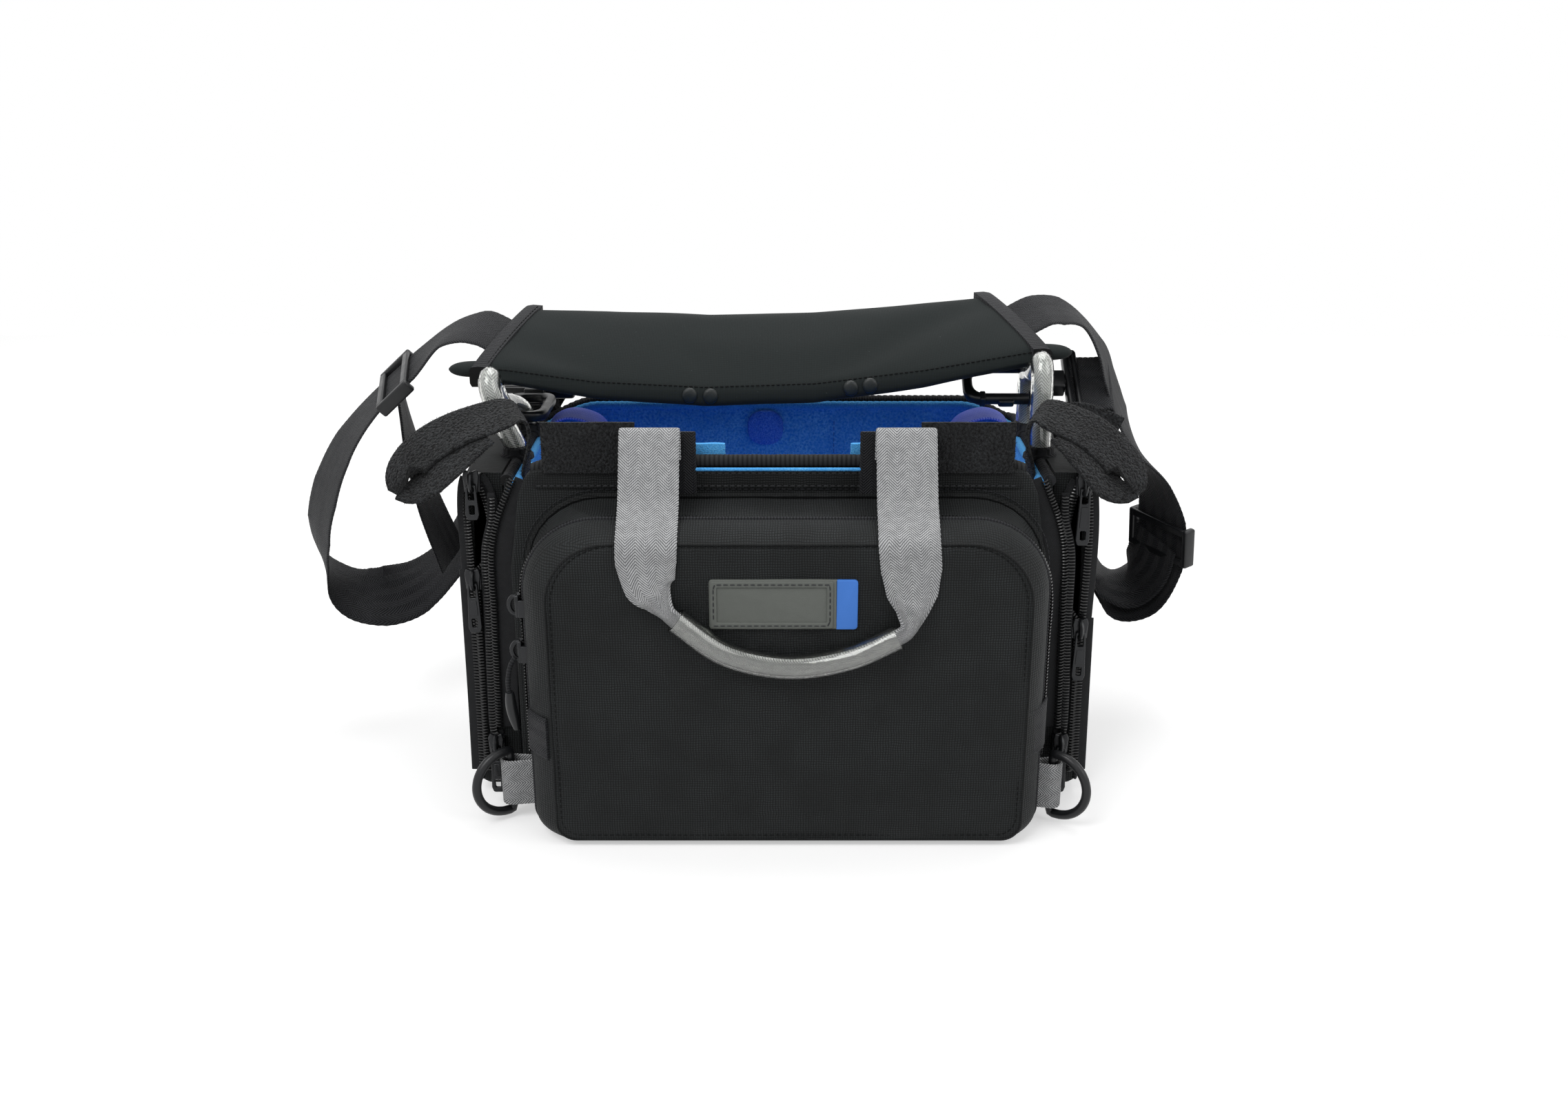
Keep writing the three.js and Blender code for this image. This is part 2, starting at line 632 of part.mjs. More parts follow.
function sliderBody() {
  const shape = new THREE.Shape();
  shape.moveTo(-sliderWidth * 0.36, -sliderLength / 2);
  shape.lineTo(sliderWidth * 0.36, -sliderLength / 2);
  shape.lineTo(sliderWidth / 2, sliderLength * 0.2);
  shape.lineTo(sliderWidth * 0.4, sliderLength / 2);
  shape.lineTo(0, sliderLength * 0.36);
  shape.lineTo(-sliderWidth * 0.4, sliderLength / 2);
  shape.lineTo(-sliderWidth / 2, sliderLength * 0.2);
  const plate = panel(shape, -sliderThickness, 0);
  const bridge = block([-1.3, -sliderThickness - 3.6, -4.6], [1.3, -sliderThickness + 0.5, 4.6]);
  const eyelet = block([-2, -sliderThickness - 2.3, -3], [2, -sliderThickness, 3]);
  return cut(join(plate, bridge), eyelet);
}

// a tapered pull with a hole at its lower end; its ring end hooks under the slider's bridge
function pullTab(length) {
  const shape = new THREE.Shape();
  shape.moveTo(-2.6, 0.9);
  shape.lineTo(-3.6, -length + 3);
  shape.lineTo(-2.2, -length);
  shape.lineTo(2.2, -length);
  shape.lineTo(3.6, -length + 3);
  shape.lineTo(2.6, 0.9);
  const bridgeHole = new THREE.Path();
  bridgeHole.moveTo(-1.6, -0.2);
  bridgeHole.lineTo(1.6, -0.2);
  bridgeHole.lineTo(1.6, -7.4);
  bridgeHole.lineTo(-1.6, -7.4);
  const tipHole = new THREE.Path();
  tipHole.moveTo(-1.5, -length + 8);
  tipHole.lineTo(1.5, -length + 8);
  tipHole.lineTo(1.2, -length + 3);
  tipHole.lineTo(-1.2, -length + 3);
  shape.holes.push(bridgeHole, tipHole);
  return panel(shape, -1.6, 0);
}

// name, x, front of the teeth, z, pull length
const pulledSliders = [
  ['corner', 'left', cornerZipLine[0][1] + 1.8, cornerZipFront, 36, 26],
  ['corner', 'right', cornerZipLine[0][1] + 1.8, cornerZipFront, 36, 26],
  ['side_upper', 'left', sideZipTopX, sideZipFront, eyes.left.high, 18],
  ['side_upper', 'right', sideZipTopX, sideZipFront, eyes.right.high, 30],
  ['side_lower', 'left', sideZipX, sideZipFront, eyes.left.low - 3, 27],
  ['side_lower', 'right', sideZipX, sideZipFront, eyes.right.low - 3, 27],
];

function buildSliders() {
  for (const [zip, sideName, x, face, z, pullLength] of pulledSliders) {
    const side = sideName === 'left' ? -1 : 1;
    add(`${zip}_slider_${sideName}`, sliderBody().translate(side * x, face - clearance, z), zincAlloy);
    const pullBack = face - clearance - sliderThickness - clearance;
    const pull = pullTab(pullLength).translate(side * x, pullBack, z - pullDrop);
    add(`${zip}_pull_${sideName}`, pull, zincAlloy);
  }
  const reach = clearance + coilThickness - bandInset - pocketLeft;
  const zipMiddle = gussetFront - clearance - zipBandDepth / 2;
  [['upper', 128], ['lower', 103]].forEach(([name, z]) => {
    const body = placed(sliderBody(), [-reach - 2 * clearance, zipMiddle, z], [0, -1, 0], [1, 0, 0]);
    add(`front_pocket_slider_${name}`, body, zincAlloy);
  });
}

// ---------------------------------------------------------------- side pockets

function sidePocketRing(side, z, inset) {
  const lift = (z - sidePocketBottom) / (sidePocketTop - sidePocketBottom);
  const reach = sidePocketX + sidePocketReach - 3.5 * lift - inset;
  const bulge = (sidePocketBulge + 1.5) * Math.sin(Math.PI * (0.12 + 0.8 * lift)) + 0.5;
  const front = sidePocketFront + inset;
  const back = sidePocketBack - inset;
  const inner = sidePocketX + inset;
  const plan = [
    [inner, front], [reach - 3, front], [reach - 0.8, front + 0.8], [reach, front + 3],
    [reach + bulge * 0.75, front * 0.45], [reach + bulge, 0], [reach + bulge * 0.75, back * 0.45],
    [reach, back - 9], [reach - 3, back - 2.4], [reach - 9, back], [inner, back],
  ];
  return plan.map(([x, y]) => v(side * x, y, z));
}

function buildSidePocket(side, name) {
  const eye = eyes[name];
  const levels = (low, high) => [0, 0.06, 0.3, 0.55, 0.8, 0.95, 1].map((t) => low + t * (high - low));
  const outer = loft(levels(sidePocketBottom, sidePocketTop).map((z) => sidePocketRing(side, z, 0)));
  const inner = loft(levels(sidePocketBottom + sidePocketWall, sidePocketTop - sidePocketWall)
    .map((z) => sidePocketRing(side, z, sidePocketWall)));
  add(`side_pocket_${name}`, cut(outer, inner, eyeOpening(side, eye)), blackNylon);
  add(`side_zip_${name}`, sideZip(side, eye), blackCoil);
}

// ---------------------------------------------------------------- inner straps, rings, cable straps

function buildInnerStrap(side, name) {
  const wallX = cavityX - clearance - webbingThickness / 2;
  const route = [[wallX, 178], [wallX - 3, 188], [wallX - 14, 193], [wallX - 30, 188], [wallX - 36, 175],
    [wallX - 28, 160], [wallX - 10, 151], [wallX - 0.4, 140], [wallX, 130]];
  const arc = route.map(([x, z]) => [side * x, 38, z, 0, 1, 0]);
  add(`inner_strap_${name}`, webbing(arc, 26, tapeWidth), blueWebbing);
}

const ringBar = {
  left: [pocketLeft - 14.5, gussetFront + 8.7, 22],
  right: [pocketRight + 9, gussetFront + 3.7, 22.5],
};

function ringBody() {
  const outer = new THREE.Shape();
  const half = ringHeight / 2;
  outer.moveTo(-ringRod / 2, -half);
  outer.lineTo(ringReach - half, -half);
  outer.absarc(ringReach - half, 0, half, -Math.PI / 2, Math.PI / 2);
  outer.lineTo(-ringRod / 2, half);
  const hole = new THREE.Path();
  hole.moveTo(ringRod / 2, -half + ringRod);
  hole.lineTo(ringReach - half, -half + ringRod);
  hole.absarc(ringReach - half, 0, half - ringRod, -Math.PI / 2, Math.PI / 2);
  hole.lineTo(ringRod / 2, half - ringRod);
  outer.holes.push(hole);
  const rounding = 1.2;
  return new THREE.ExtrudeGeometry(outer, {
    depth: ringRod - 2 * rounding, curveSegments: 8, bevelThickness: rounding,
    bevelSize: rounding, bevelOffset: -rounding, bevelSegments: 1,
  }).translate(0, 0, rounding - ringRod / 2);
}

function buildRing(side, name) {
  const [x, y, z] = ringBar[name];
  const lean = side * 0.8;
  add(`corner_ring_${name}`, placed(ringBody(), [x, y, z], [lean, -0.6, 0], [0, 0, 1]), blackPlastic);
  const bend = ringRod / 2 * 1.3 + clearance + webbingThickness / 2;
  const rootX = (side < 0 ? pocketLeft : pocketRight) + side * clearance;
  const across = [0, 0, 1];
  const tab = [
    [rootX, y + bend - 1.2, z, ...across], [(rootX + x) / 2, y + bend - 0.4, z, ...across],
    [x, y + bend, z, ...across],
    [x + side * bend * 0.7, y + bend * 0.7, z, ...across], [x + side * bend, y, z, ...across],
    [x + side * bend * 0.7, y - bend * 0.7, z, ...across], [x, y - bend, z, ...across],
    [(rootX + x) / 2, y - bend * 0.75, z, ...across], [rootX, y - bend * 0.5, z, ...across],
  ];
  add(`ring_tab_${name}`, webbing(tab, 24, ringHeight - 2 * ringRod - 4), greyWebbing);
}

// a hook-and-loop strap, stitched inside the wall, that comes over the rim and folds back on itself
function buildCableStrap(side, name, reach) {
  const wallX = cavityX - clearance - tapeThickness / 2;
  const out = (share) => wallX + share * (reach - wallX);
  const flat = [0, -1, 0];
  const spread = [side * -0.66, -0.66, -0.34];
  const route = [
    [wallX, -40, 168, ...flat], [wallX - 0.3, -40, 186, ...flat],
    [wallX - 2.5, -41, 203, side * -0.2, -0.95, -0.1],
    [wallX + 2, -43, 214, side * -0.5, -0.8, -0.25], [out(0.35), -47, 212, ...spread],
    [out(0.7), -54, 205, ...spread], [reach, -61, 193, ...spread], [reach + 5, -62.5, 187, ...spread],
    [reach + 3.5, -62, 183, ...spread], [reach - 4, -60, 187.5, ...spread], [out(0.7), -54, 202, ...spread],
    [out(0.42), -49, 206, ...spread],
  ];
  const signed = route.map(([x, ...rest]) => [side * x, ...rest]);
  add(`cable_strap_${name}`, webbing(signed, 34, tapeWidth, tapeThickness), loopTape);
}

// ---------------------------------------------------------------- hoops and shoulder strap

// the hoops lean a little differently, as the pad lies on them; top is the rod's highest point
const hoopShape = { left: { lean: 13, top: 227 }, right: { lean: -1, top: 235 } };
const hoopNearY = -22;
const hoopFarY = 28.5;
const padRestY = 2;               // where the pad's underside lies on the hoops

function hoopRoute(side, { lean, top }) {
  const foot = shellX - 2;
  const restX = side * (foot + 0.85 * lean);
  const rest = padUnderside(restX, padRestY - hoopRadius) - clearance - hoopRadius;
  const low = hoopFootZ;
  const place = (share, y, z) => [side * (foot + lean * share), y, z];
  return [place(0, hoopNearY, low), place(0, hoopNearY, low + 3), place(0.6, hoopNearY, (low + top) / 2),
    place(0.95, hoopNearY + 0.5, top - 5), place(1, hoopNearY + 5, top),
    place(0.95, hoopNearY + 13, (top + rest) / 2),
    place(0.85, padRestY, rest), place(0.68, hoopFarY - 12, rest - 3.5), place(0.4, hoopFarY - 2, rest - 9),
    place(0.2, hoopFarY, (low + rest - 9) / 2), place(0, hoopFarY, low + 3), place(0, hoopFarY, low)];
}

// x, near edge y, far edge y, near edge z, far edge z, thickness
const padSections = [
  [-178, 4, 12, 228, 229, 4], [-172, 1, 16, 228, 230, 7], [-163, 0, 17, 229, 232, 8],
  [-162.4, 0, 68, 229, 247, 9], [-148, 0, 69, 228, 248, 10], [-100, 0, 70, 221.5, 248, 12],
  [-40, 0, 71, 218.5, 246, 13], [20, 0, 71, 220.5, 247, 13], [80, 0, 70, 228, 252, 12],
  [132, 0, 69, 237, 256.5, 10], [145.4, 0, 68, 239, 257, 9], [146, 0, 17, 239, 242, 8],
  [163, 1, 16, 240, 242, 7], [170, 4, 12, 241, 242, 4],
].map(([x, ...rest]) => [x * (1 + caseGrowth / strapCaseHalfWidth), ...rest]);

function padUnderside(x, y) {
  const next = padSections.findIndex((section) => section[0] > x);
  const [a, b] = [padSections[next - 1], padSections[next]];
  const share = (x - a[0]) / (b[0] - a[0]);
  const [, nearY, farY, nearZ, farZ, thickness] = a.map((value, i) => value + share * (b[i] - value));
  return nearZ - thickness + (farZ - nearZ) / (farY - nearY) * Math.max(0, y - nearY);
}

function padRing([x, nearY, farY, nearZ, farZ, thickness]) {
  const half = thickness / 2;
  const rise = (farZ - nearZ) / (farY - nearY);
  const profile = [
    [0, 0.15], [0.015, 0.7], [0.06, 1], [0.3, 1.08], [0.5, 1.1], [0.7, 1.08], [0.94, 1],
    [0.985, 0.7], [1, 0], [0.985, -0.7], [0.94, -1], [0.5, -1], [0.06, -1], [0.015, -0.7],
  ];
  return profile.map(([t, up]) => {
    const y = nearY + t * (farY - nearY);
    return v(x, y, nearZ - half + rise * (y - nearY) + up * half);
  });
}

// where the webbing runs, and the direction of its width
const strapRoutes = {
  left: [
    [-165.4, 36, 243, 0.1, 0.95, 0.3], [-174, 37, 243, 0.2, 0.95, 0.25], [-188, 39, 238, 0.08, 0.98, 0.19],
    [-207, 39, 221, -0.3, 0.94, 0.06], [-229, 39, 201, -0.3, 0.94, 0.06],
    [-253, 40, 172, -0.53, 0.85, -0.02], [-266, 40, 145, -0.62, 0.76, -0.16],
    [-273, 43, 121, -0.55, 0.8, -0.2], [-274, 47, 103, -0.36, 0.9, -0.15],
    [-268, 49, 89, -0.15, 0.93, 0.2], [-256, 49, 79, -0.02, 0.8, 0.57], [-239, 50, 76, 0.02, 0.62, 0.78],
    [-222, 61, 79, -0.13, 0.78, 0.61], [-204, 72, 92, -0.35, 0.85, 0.35], [-188, 79, 113, -0.5, 0.8, 0.34],
    [-172, 87, 146, -0.7, 0.6, 0.3], [-156, 96, 178, -0.95, 0.2, 0.1], [-148, 95, 194, -1, 0, 0],
  ],
  right: [
    [147.4, 36, 253, -0.25, 0.93, 0.2], [158, 37, 252.5, -0.1, 0.95, 0.25], [170, 36, 247, 0.1, 0.99, 0.04],
    [181, 33, 232, 0.3, 0.94, -0.1], [187, 33, 216, 0.33, 0.93, -0.12], [192, 33, 203, 0.36, 0.93, -0.08],
    [198, 34, 190, 0.38, 0.9, -0.16], [207, 37, 173, 0.2, 0.95, -0.23], [219, 40, 152, -0.2, 0.93, -0.28],
    [226, 41, 130, -0.46, 0.84, -0.28], [228, 44, 104, -0.46, 0.84, -0.28], [223, 51, 80, -0.31, 0.95, 0.1],
    [210, 62, 70, -0.16, 0.98, 0.1], [198, 70, 76, -0.02, 0.98, 0.2], [191, 74, 92, 0.15, 0.9, 0.3],
    [188, 72, 125, 0.2, 0.92, 0.1], [188, 60, 163, 0.15, 0.97, -0.1], [188, 42, 192, 0.1, 0.95, 0.2],
    [183, 29, 208, 0, 0.85, 0.5],
  ],
};
for (const route of Object.values(strapRoutes)) {
  for (const place of route) place[0] += Math.sign(place[0]) * caseGrowth;
}

// the frame of a webbing adjuster: two end bars over the strap and a middle bar under it
function adjuster() {
  const halfWidth = strapWidth / 2 + 0.8;
  const halfLength = 12;
  const barX = strapThickness / 2 + 2 * clearance;
  const bar = (y, low, high) => block([-halfWidth - 1, y - 2.4, low], [halfWidth + 1, y + 2.4, high]);
  const rail = (side) => block([side * (halfWidth + 2) - 2, -halfLength, -barX - 2.4],
    [side * (halfWidth + 2) + 2, halfLength, barX + 2.4]);
  return join(rail(1), rail(-1), bar(2.4 - halfLength, barX, barX + 2.4),
    bar(halfLength - 2.4, barX, barX + 2.4), bar(0, -barX - 2.4, -barX));
}

// a snap hook with its long axis along x: the opening's outer end is at the origin
function hookBody() {
  const [length, width] = hookInner;
  const outerY = width / 2 + hookRod;
  const outer = roundedBox(-length - hookRod, -outerY, hookRod, outerY, width / 2 + 2);
  const hole = new THREE.Path(roundedBox(-length, -width / 2, 0, width / 2, width / 2 - 1).getPoints(3));
  outer.holes.push(hole);
  const ring = new THREE.ExtrudeGeometry(outer, {
    depth: hookThickness - 2, curveSegments: 3, bevelThickness: 1,
    bevelSize: 1, bevelOffset: -1, bevelSegments: 1,
  }).translate(0, 0, 1 - hookThickness / 2);
  const collar = block([hookRod - 1, -6, -5], [hookRod + 8, 6, 5]);
  const bore = block([hookRod + 1, -swivelPinRadius - clearance, -swivelPinRadius - clearance],
    [hookRod + 9, swivelPinRadius + clearance, swivelPinRadius + clearance]);
  return cut(join(ring, collar), bore);
}

// the eye that carries the strap, with the pin that turns in the hook's collar
function hookEye() {
  const start = hookRod + 8 + clearance;
  const half = strapWidth / 2 + 0.4;
  const frame = block([start, -half - 3, -3.6], [start + 8, half + 3, 3.6]);
  const slotZ = strapThickness / 2 + 0.4;
  const slot = block([start + 3, -half, -slotZ], [start + 9, half, slotZ]);
  const pin = new THREE.CylinderGeometry(swivelPinRadius, swivelPinRadius, 7, 10).rotateZ(Math.PI / 2)
    .translate(start - 2.5, 0, 0);
  return join(cut(frame, slot), pin);
}

const hookPlaces = {
  left: { at: [-shellX - 1.4, 58.2, 196.5], along: [0, 1, 0], across: [1, 0, 0] },
  right: { at: [shellX + 3.7, 24.4, 214], along: [1, 0, 0], across: [0, 0.8, 0.6] },
};
const adjusterPlaces = {
  left: { from: strapRoutes.left[3], to: strapRoutes.left[4] },
  right: { from: strapRoutes.right[9], to: strapRoutes.right[10] },
};

// the strap's last stretch runs straight into the slot of the hook's eye
function strapEnd({ at, along, across }) {
  const slotStart = hookRod + 8 + clearance + 3 + clearance;
  return [22, 12, 0].map((run) => [...at.map((a, i) => a + along[i] * (slotStart + run)), ...across]);
}

function buildStrapSide(side, name) {
  add(`side_hoop_${name}`, rod(hoopRoute(side, hoopShape[name]), hoopRadius, 4, 24), clearTube);
  const { at, along, across } = hookPlaces[name];
  const route = [...strapRoutes[name], ...strapEnd({ at, along, across: across.map((a) => a * side) })];
  add(`strap_${name}`, webbing(route, 62, strapWidth, strapThickness), blackWebbing);
  add(`snap_hook_${name}`, placed(hookBody(), at, along, across), blackPlastic);
  add(`hook_eye_${name}`, placed(hookEye(), at, along, across), blackPlastic);
}

function buildAdjuster(name) {
  const { from, to } = adjusterPlaces[name];
  const middle = [0, 1, 2].map((i) => (from[i] + to[i]) / 2);
  const across = [3, 4, 5].map((i) => (from[i] + to[i]) / 2);
  const along = [0, 1, 2].map((i) => to[i] - from[i]);
  const x = v(...across);
  const t = v(...along).normalize();
  x.addScaledVector(t, -x.dot(t));
  add(`strap_adjuster_${name}`, placed(adjuster(), middle, x.toArray(), t.toArray()), blackPlastic);
}

// ---------------------------------------------------------------- assembly

buildCase();
buildFront();
buildHandle();
buildSliders();
add('shoulder_pad', loft(padSections.map(padRing)), neoprene);
for (const [name, side, strapReach] of [['left', -1, 186], ['right', 1, 174]]) {
  buildTabs(side, name);
  buildCornerZip(side, name);
  buildSidePocket(side, name);
  buildInnerStrap(side, name);
  buildRing(side, name);
  buildCableStrap(side, name, strapReach);
  buildStrapSide(side, name);
  buildAdjuster(name);
}

export default bag;
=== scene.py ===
"""Field audio shoulder bag: black nylon case with a blue padded lining, a zipped front pocket,
zipped side pockets, a grab handle in a clear tube, side hoops and a padded shoulder strap.
Places are in millimetres, X to the right, Y to the back, Z up from the floor."""

import math
import random

import bmesh
import bpy
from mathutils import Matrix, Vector, noise


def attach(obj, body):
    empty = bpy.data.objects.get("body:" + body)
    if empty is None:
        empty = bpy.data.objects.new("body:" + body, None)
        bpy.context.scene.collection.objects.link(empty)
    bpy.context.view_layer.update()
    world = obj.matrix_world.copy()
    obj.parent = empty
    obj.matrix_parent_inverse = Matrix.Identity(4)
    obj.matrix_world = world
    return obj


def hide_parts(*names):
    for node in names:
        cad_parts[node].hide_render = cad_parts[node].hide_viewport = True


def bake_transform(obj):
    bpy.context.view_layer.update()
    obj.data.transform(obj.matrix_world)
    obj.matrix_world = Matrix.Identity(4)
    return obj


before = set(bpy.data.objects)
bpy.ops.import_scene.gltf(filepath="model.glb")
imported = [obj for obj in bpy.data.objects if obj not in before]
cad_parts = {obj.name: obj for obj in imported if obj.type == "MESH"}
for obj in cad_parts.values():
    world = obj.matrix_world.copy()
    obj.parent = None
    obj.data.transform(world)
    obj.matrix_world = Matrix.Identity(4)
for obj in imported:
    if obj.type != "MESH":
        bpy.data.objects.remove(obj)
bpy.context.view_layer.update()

MM = 0.001
SIDES = (("left", -1), ("right", 1))

# ---------------------------------------------------------------- sizes of the bag

SHELL_X = 142.8                  # half width of the case
SHELL_BACK = 71.3
WALL = 5.5
CAVITY_X = 134.5                 # half width inside the lining
CAVITY_BACK = 63
SIDE_TOP = 185
BACK_TOP = 195
SHOULDER_RUN = 28                # the back edge drops to the sides over this length
PLAN_CORNER = 12
SIDE_FRONT = -62                 # front edge of the side walls
PANEL_BACK = -65                 # front panel
PANEL_FACE = -70.7
PANEL_TOP = 192
GUSSET_FRONT = -91.7             # front pocket
ZIP_MIDDLE_Y = -95
COVER_BACK = -98
COVER_FACE = -115.5
POCKET_LEFT = -129
POCKET_RIGHT = 137
POCKET_BOTTOM = 5
POCKET_TOP = 172.5
POCKET_TOP_RADIUS = 38
POCKET_BOTTOM_RADIUS = 10
GUSSET_DEPTH = 20.7
GUSSET_FLARE = 5.5
RIM_HALF = 126                   # half length of the binding over the front panel
CORNER_ZIP_LINE = [(44, 151.5), (110, 150), (146, 149), (163, 145), (186, 135.6)]
CORNER_ZIP_Y = -64.4             # middle of the teeth
SIDE_ZIP_Y = -58.2
SIDE_ZIP_X = 160.8               # at the lower slider
SIDE_ZIP_TOP_X = 158             # and at the upper one
SIDE_POCKET_FRONT = -56.4
SIDE_POCKET_BACK = 58
SIDE_POCKET_INNER = 143.1
SIDE_POCKET_REACH = 23           # how far it stands out
SIDE_POCKET_LOW = 6
SIDE_POCKET_HIGH = 186
SIDE_POCKET_WALL = 2.5
SIDE_POCKET_MIDDLE = 0.8         # of its depth, and half the depth
SIDE_POCKET_HALF = 57.2
EYES = {                         # the openings between the side zips' sliders
    "left": dict(low=132, high=183, inner=151.5, outer=160.8),
    "right": dict(low=104, high=181, inner=151.5, outer=161.5),
}

# ---------------------------------------------------------------- camera, floor and light

FRAME_WIDTH = 2275               # pixels of the photograph
FOCAL_PIXELS = 2200
CAMERA_AT = (3, -809, 412)
CAMERA_DROP = 20                 # degrees below level
WORLD_LEVEL = 0.46
FLOOR_GREY = 0.6
FLOOR_GLOW = 0.47
FLOOR_HALF = 1.2                 # metres; beyond it the world shows, as white as the lit floor
LAMPS_AIM = (0, 0, 0.12)
LAMPS = [                        # name, place in metres, watts, width in metres
    ("key", (-0.9, -1.2, 1.9), 27, 1.2),
    ("fill", (1.4, -0.9, 1.3), 12, 1.3),
    ("top", (0.1, 0.6, 1.9), 18, 1.4),
]


def make_camera():
    data = bpy.data.cameras.new("camera")
    data.sensor_width = 36
    data.lens = data.sensor_width * FOCAL_PIXELS / FRAME_WIDTH
    data.clip_start = 0.01
    data.clip_end = 100
    camera = bpy.data.objects.new("camera", data)
    camera.location = Vector(CAMERA_AT) * MM
    camera.rotation_euler = (math.radians(90 - CAMERA_DROP), 0, 0)
    bpy.context.scene.collection.objects.link(camera)
    bpy.context.scene.camera = camera


def linear(code):
    """An sRGB hex colour as linear red, green, blue and alpha."""
    parts = [int(code[i:i + 2], 16) / 255 for i in (1, 3, 5)]
    return [c / 12.92 if c <= 0.04045 else ((c + 0.055) / 1.055) ** 2.4 for c in parts] + [1]


def add(tree, kind, inputs=None, **settings):
    """Adds one node with its settings, and links or sets its inputs. A node that is given as
    an input is linked by its first output."""
    node = tree.nodes.new("ShaderNode" + kind)
    for key, value in settings.items():
        setattr(node, key, value)
    for key, value in (inputs or {}).items():
        if isinstance(value, bpy.types.Node):
            value = value.outputs[0]
        if isinstance(value, bpy.types.NodeSocket):
            tree.links.new(value, node.inputs[key])
        else:
            node.inputs[key].default_value = value
    return node


def seen_rays(tree):
    """1 for what the camera sees, directly, in a gloss or through the clear tubes."""
    path = add(tree, "LightPath").outputs
    gloss = add(tree, "Math", {0: path["Is Camera Ray"], 1: path["Is Glossy Ray"]}, operation="MAXIMUM")
    return add(tree, "Math", {0: gloss, 1: path["Is Transmission Ray"]}, operation="MAXIMUM")


def make_studio():
    """A pale floor that reads white and keeps the bag's shadow, under soft even light."""
    world = bpy.data.worlds.new("studio")
    bpy.context.scene.world = world
    world.use_nodes = True
    tree = world.node_tree
    tree.nodes.clear()
    level = add(tree, "MapRange", {"Value": seen_rays(tree), 3: WORLD_LEVEL, 4: 1.0})
    back = add(tree, "Background", {"Color": (1, 1, 1, 1), "Strength": level})
    add(tree, "OutputWorld", {"Surface": back})

    material = bpy.data.materials.new("studio_floor")
    material.use_nodes = True
    tree = material.node_tree
    tree.nodes.clear()
    matt = add(tree, "BsdfDiffuse", {"Color": (FLOOR_GREY, FLOOR_GREY, FLOOR_GREY, 1)})
    glow_level = add(tree, "Math", {0: seen_rays(tree), 1: FLOOR_GLOW}, operation="MULTIPLY")
    glow = add(tree, "Emission", {"Color": (1, 1, 1, 1), "Strength": glow_level})
    both = add(tree, "AddShader", {0: matt, 1: glow})
    add(tree, "OutputMaterial", {"Surface": both})
    mesh = bpy.data.meshes.new("floor")
    corners = [(x * FLOOR_HALF, y * FLOOR_HALF, 0) for x, y in ((-1, -1), (1, -1), (1, 1), (-1, 1))]
    mesh.from_pydata(corners, [], [(0, 1, 2, 3)])
    floor = bpy.data.objects.new("floor", mesh)
    mesh.materials.append(material)
    bpy.context.scene.collection.objects.link(floor)

    for name, at, watts, width in LAMPS:
        data = bpy.data.lights.new(name, "AREA")
        data.shape = "SQUARE"
        data.size = width
        data.energy = watts
        lamp = bpy.data.objects.new(name, data)
        lamp.location = at
        aim = Vector(LAMPS_AIM) - Vector(at)
        lamp.rotation_euler = aim.to_track_quat("-Z", "Y").to_euler()
        bpy.context.scene.collection.objects.link(lamp)


bpy.context.scene.view_settings.view_transform = "Standard"
make_camera()
make_studio()

# ---------------------------------------------------------------- patterns in the materials


def coated(name, roughness, **sockets):
    """A material with its shader's plain sockets set; returns it with its tree and shader."""
    material = bpy.data.materials.new(name)
    material.use_nodes = True
    tree = material.node_tree
    shader = tree.nodes["Principled BSDF"]
    shader.inputs["Roughness"].default_value = roughness
    for key, value in sockets.items():
        shader.inputs[key.replace("_", " ")].default_value = value
    return material, tree, shader


def threads(tree, distance, pitch):
    """One rounded ridge for each thread along a distance in millimetres: 0 in the gaps, 1 on top."""
    turn = add(tree, "Math", {0: distance, 1: math.pi / pitch}, operation="MULTIPLY")
    wave = add(tree, "Math", {0: turn}, operation="SINE")
    return add(tree, "Math", {0: wave}, operation="ABSOLUTE")


def place_on_object(tree):
    """The place of the surface, in millimetres."""
    coord = add(tree, "TexCoord").outputs["Object"]
    return add(tree, "VectorMath", {0: coord, 1: (1 / MM,) * 3}, operation="MULTIPLY")


def cloth_plane(tree, place):
    """Two distances in millimetres in the plane that the surface faces."""
    at = add(tree, "SeparateXYZ", {0: place}).outputs
    normal = add(tree, "TexCoord").outputs["Normal"]
    facing = add(tree, "VectorMath", {0: normal}, operation="ABSOLUTE")
    face = add(tree, "SeparateXYZ", {0: facing}).outputs
    side = add(tree, "Math", {0: face[0], 1: face[1]}, operation="GREATER_THAN")
    widest = add(tree, "Math", {0: face[0], 1: face[1]}, operation="MAXIMUM")
    level = add(tree, "Math", {0: face[2], 1: widest}, operation="GREATER_THAN")
    across = add(tree, "Mix", {0: side, 2: at[0], 3: at[1]})
    along = add(tree, "Mix", {0: level, 2: at[2], 3: at[1]})
    return across, along


def strip_place(tree):
    """The distances across and along a strip, in millimetres, kept with its points, and both."""
    kept = add(tree, "Attribute", attribute_name="cloth").outputs["Vector"]
    at = add(tree, "SeparateXYZ", {0: kept}).outputs
    return at[0], at[1], kept


def speckle(tree, place, size, low, high):
    """A soft noise with grains of a size in millimetres, between two values."""
    grain = add(tree, "TexNoise", {"Vector": place, "Scale": 1 / size, "Detail": 3})
    return add(tree, "MapRange", {"Value": grain, 1: 0.35, 2: 0.65, 3: low, 4: high})


def colour_by(tree, shader, height, low, high):
    """The shader's colour goes from low in the gaps to high on top."""
    mixed = add(tree, "Mix", {0: height, 6: linear(low), 7: linear(high)}, data_type="RGBA")
    tree.links.new(mixed.outputs[2], shader.inputs["Base Color"])


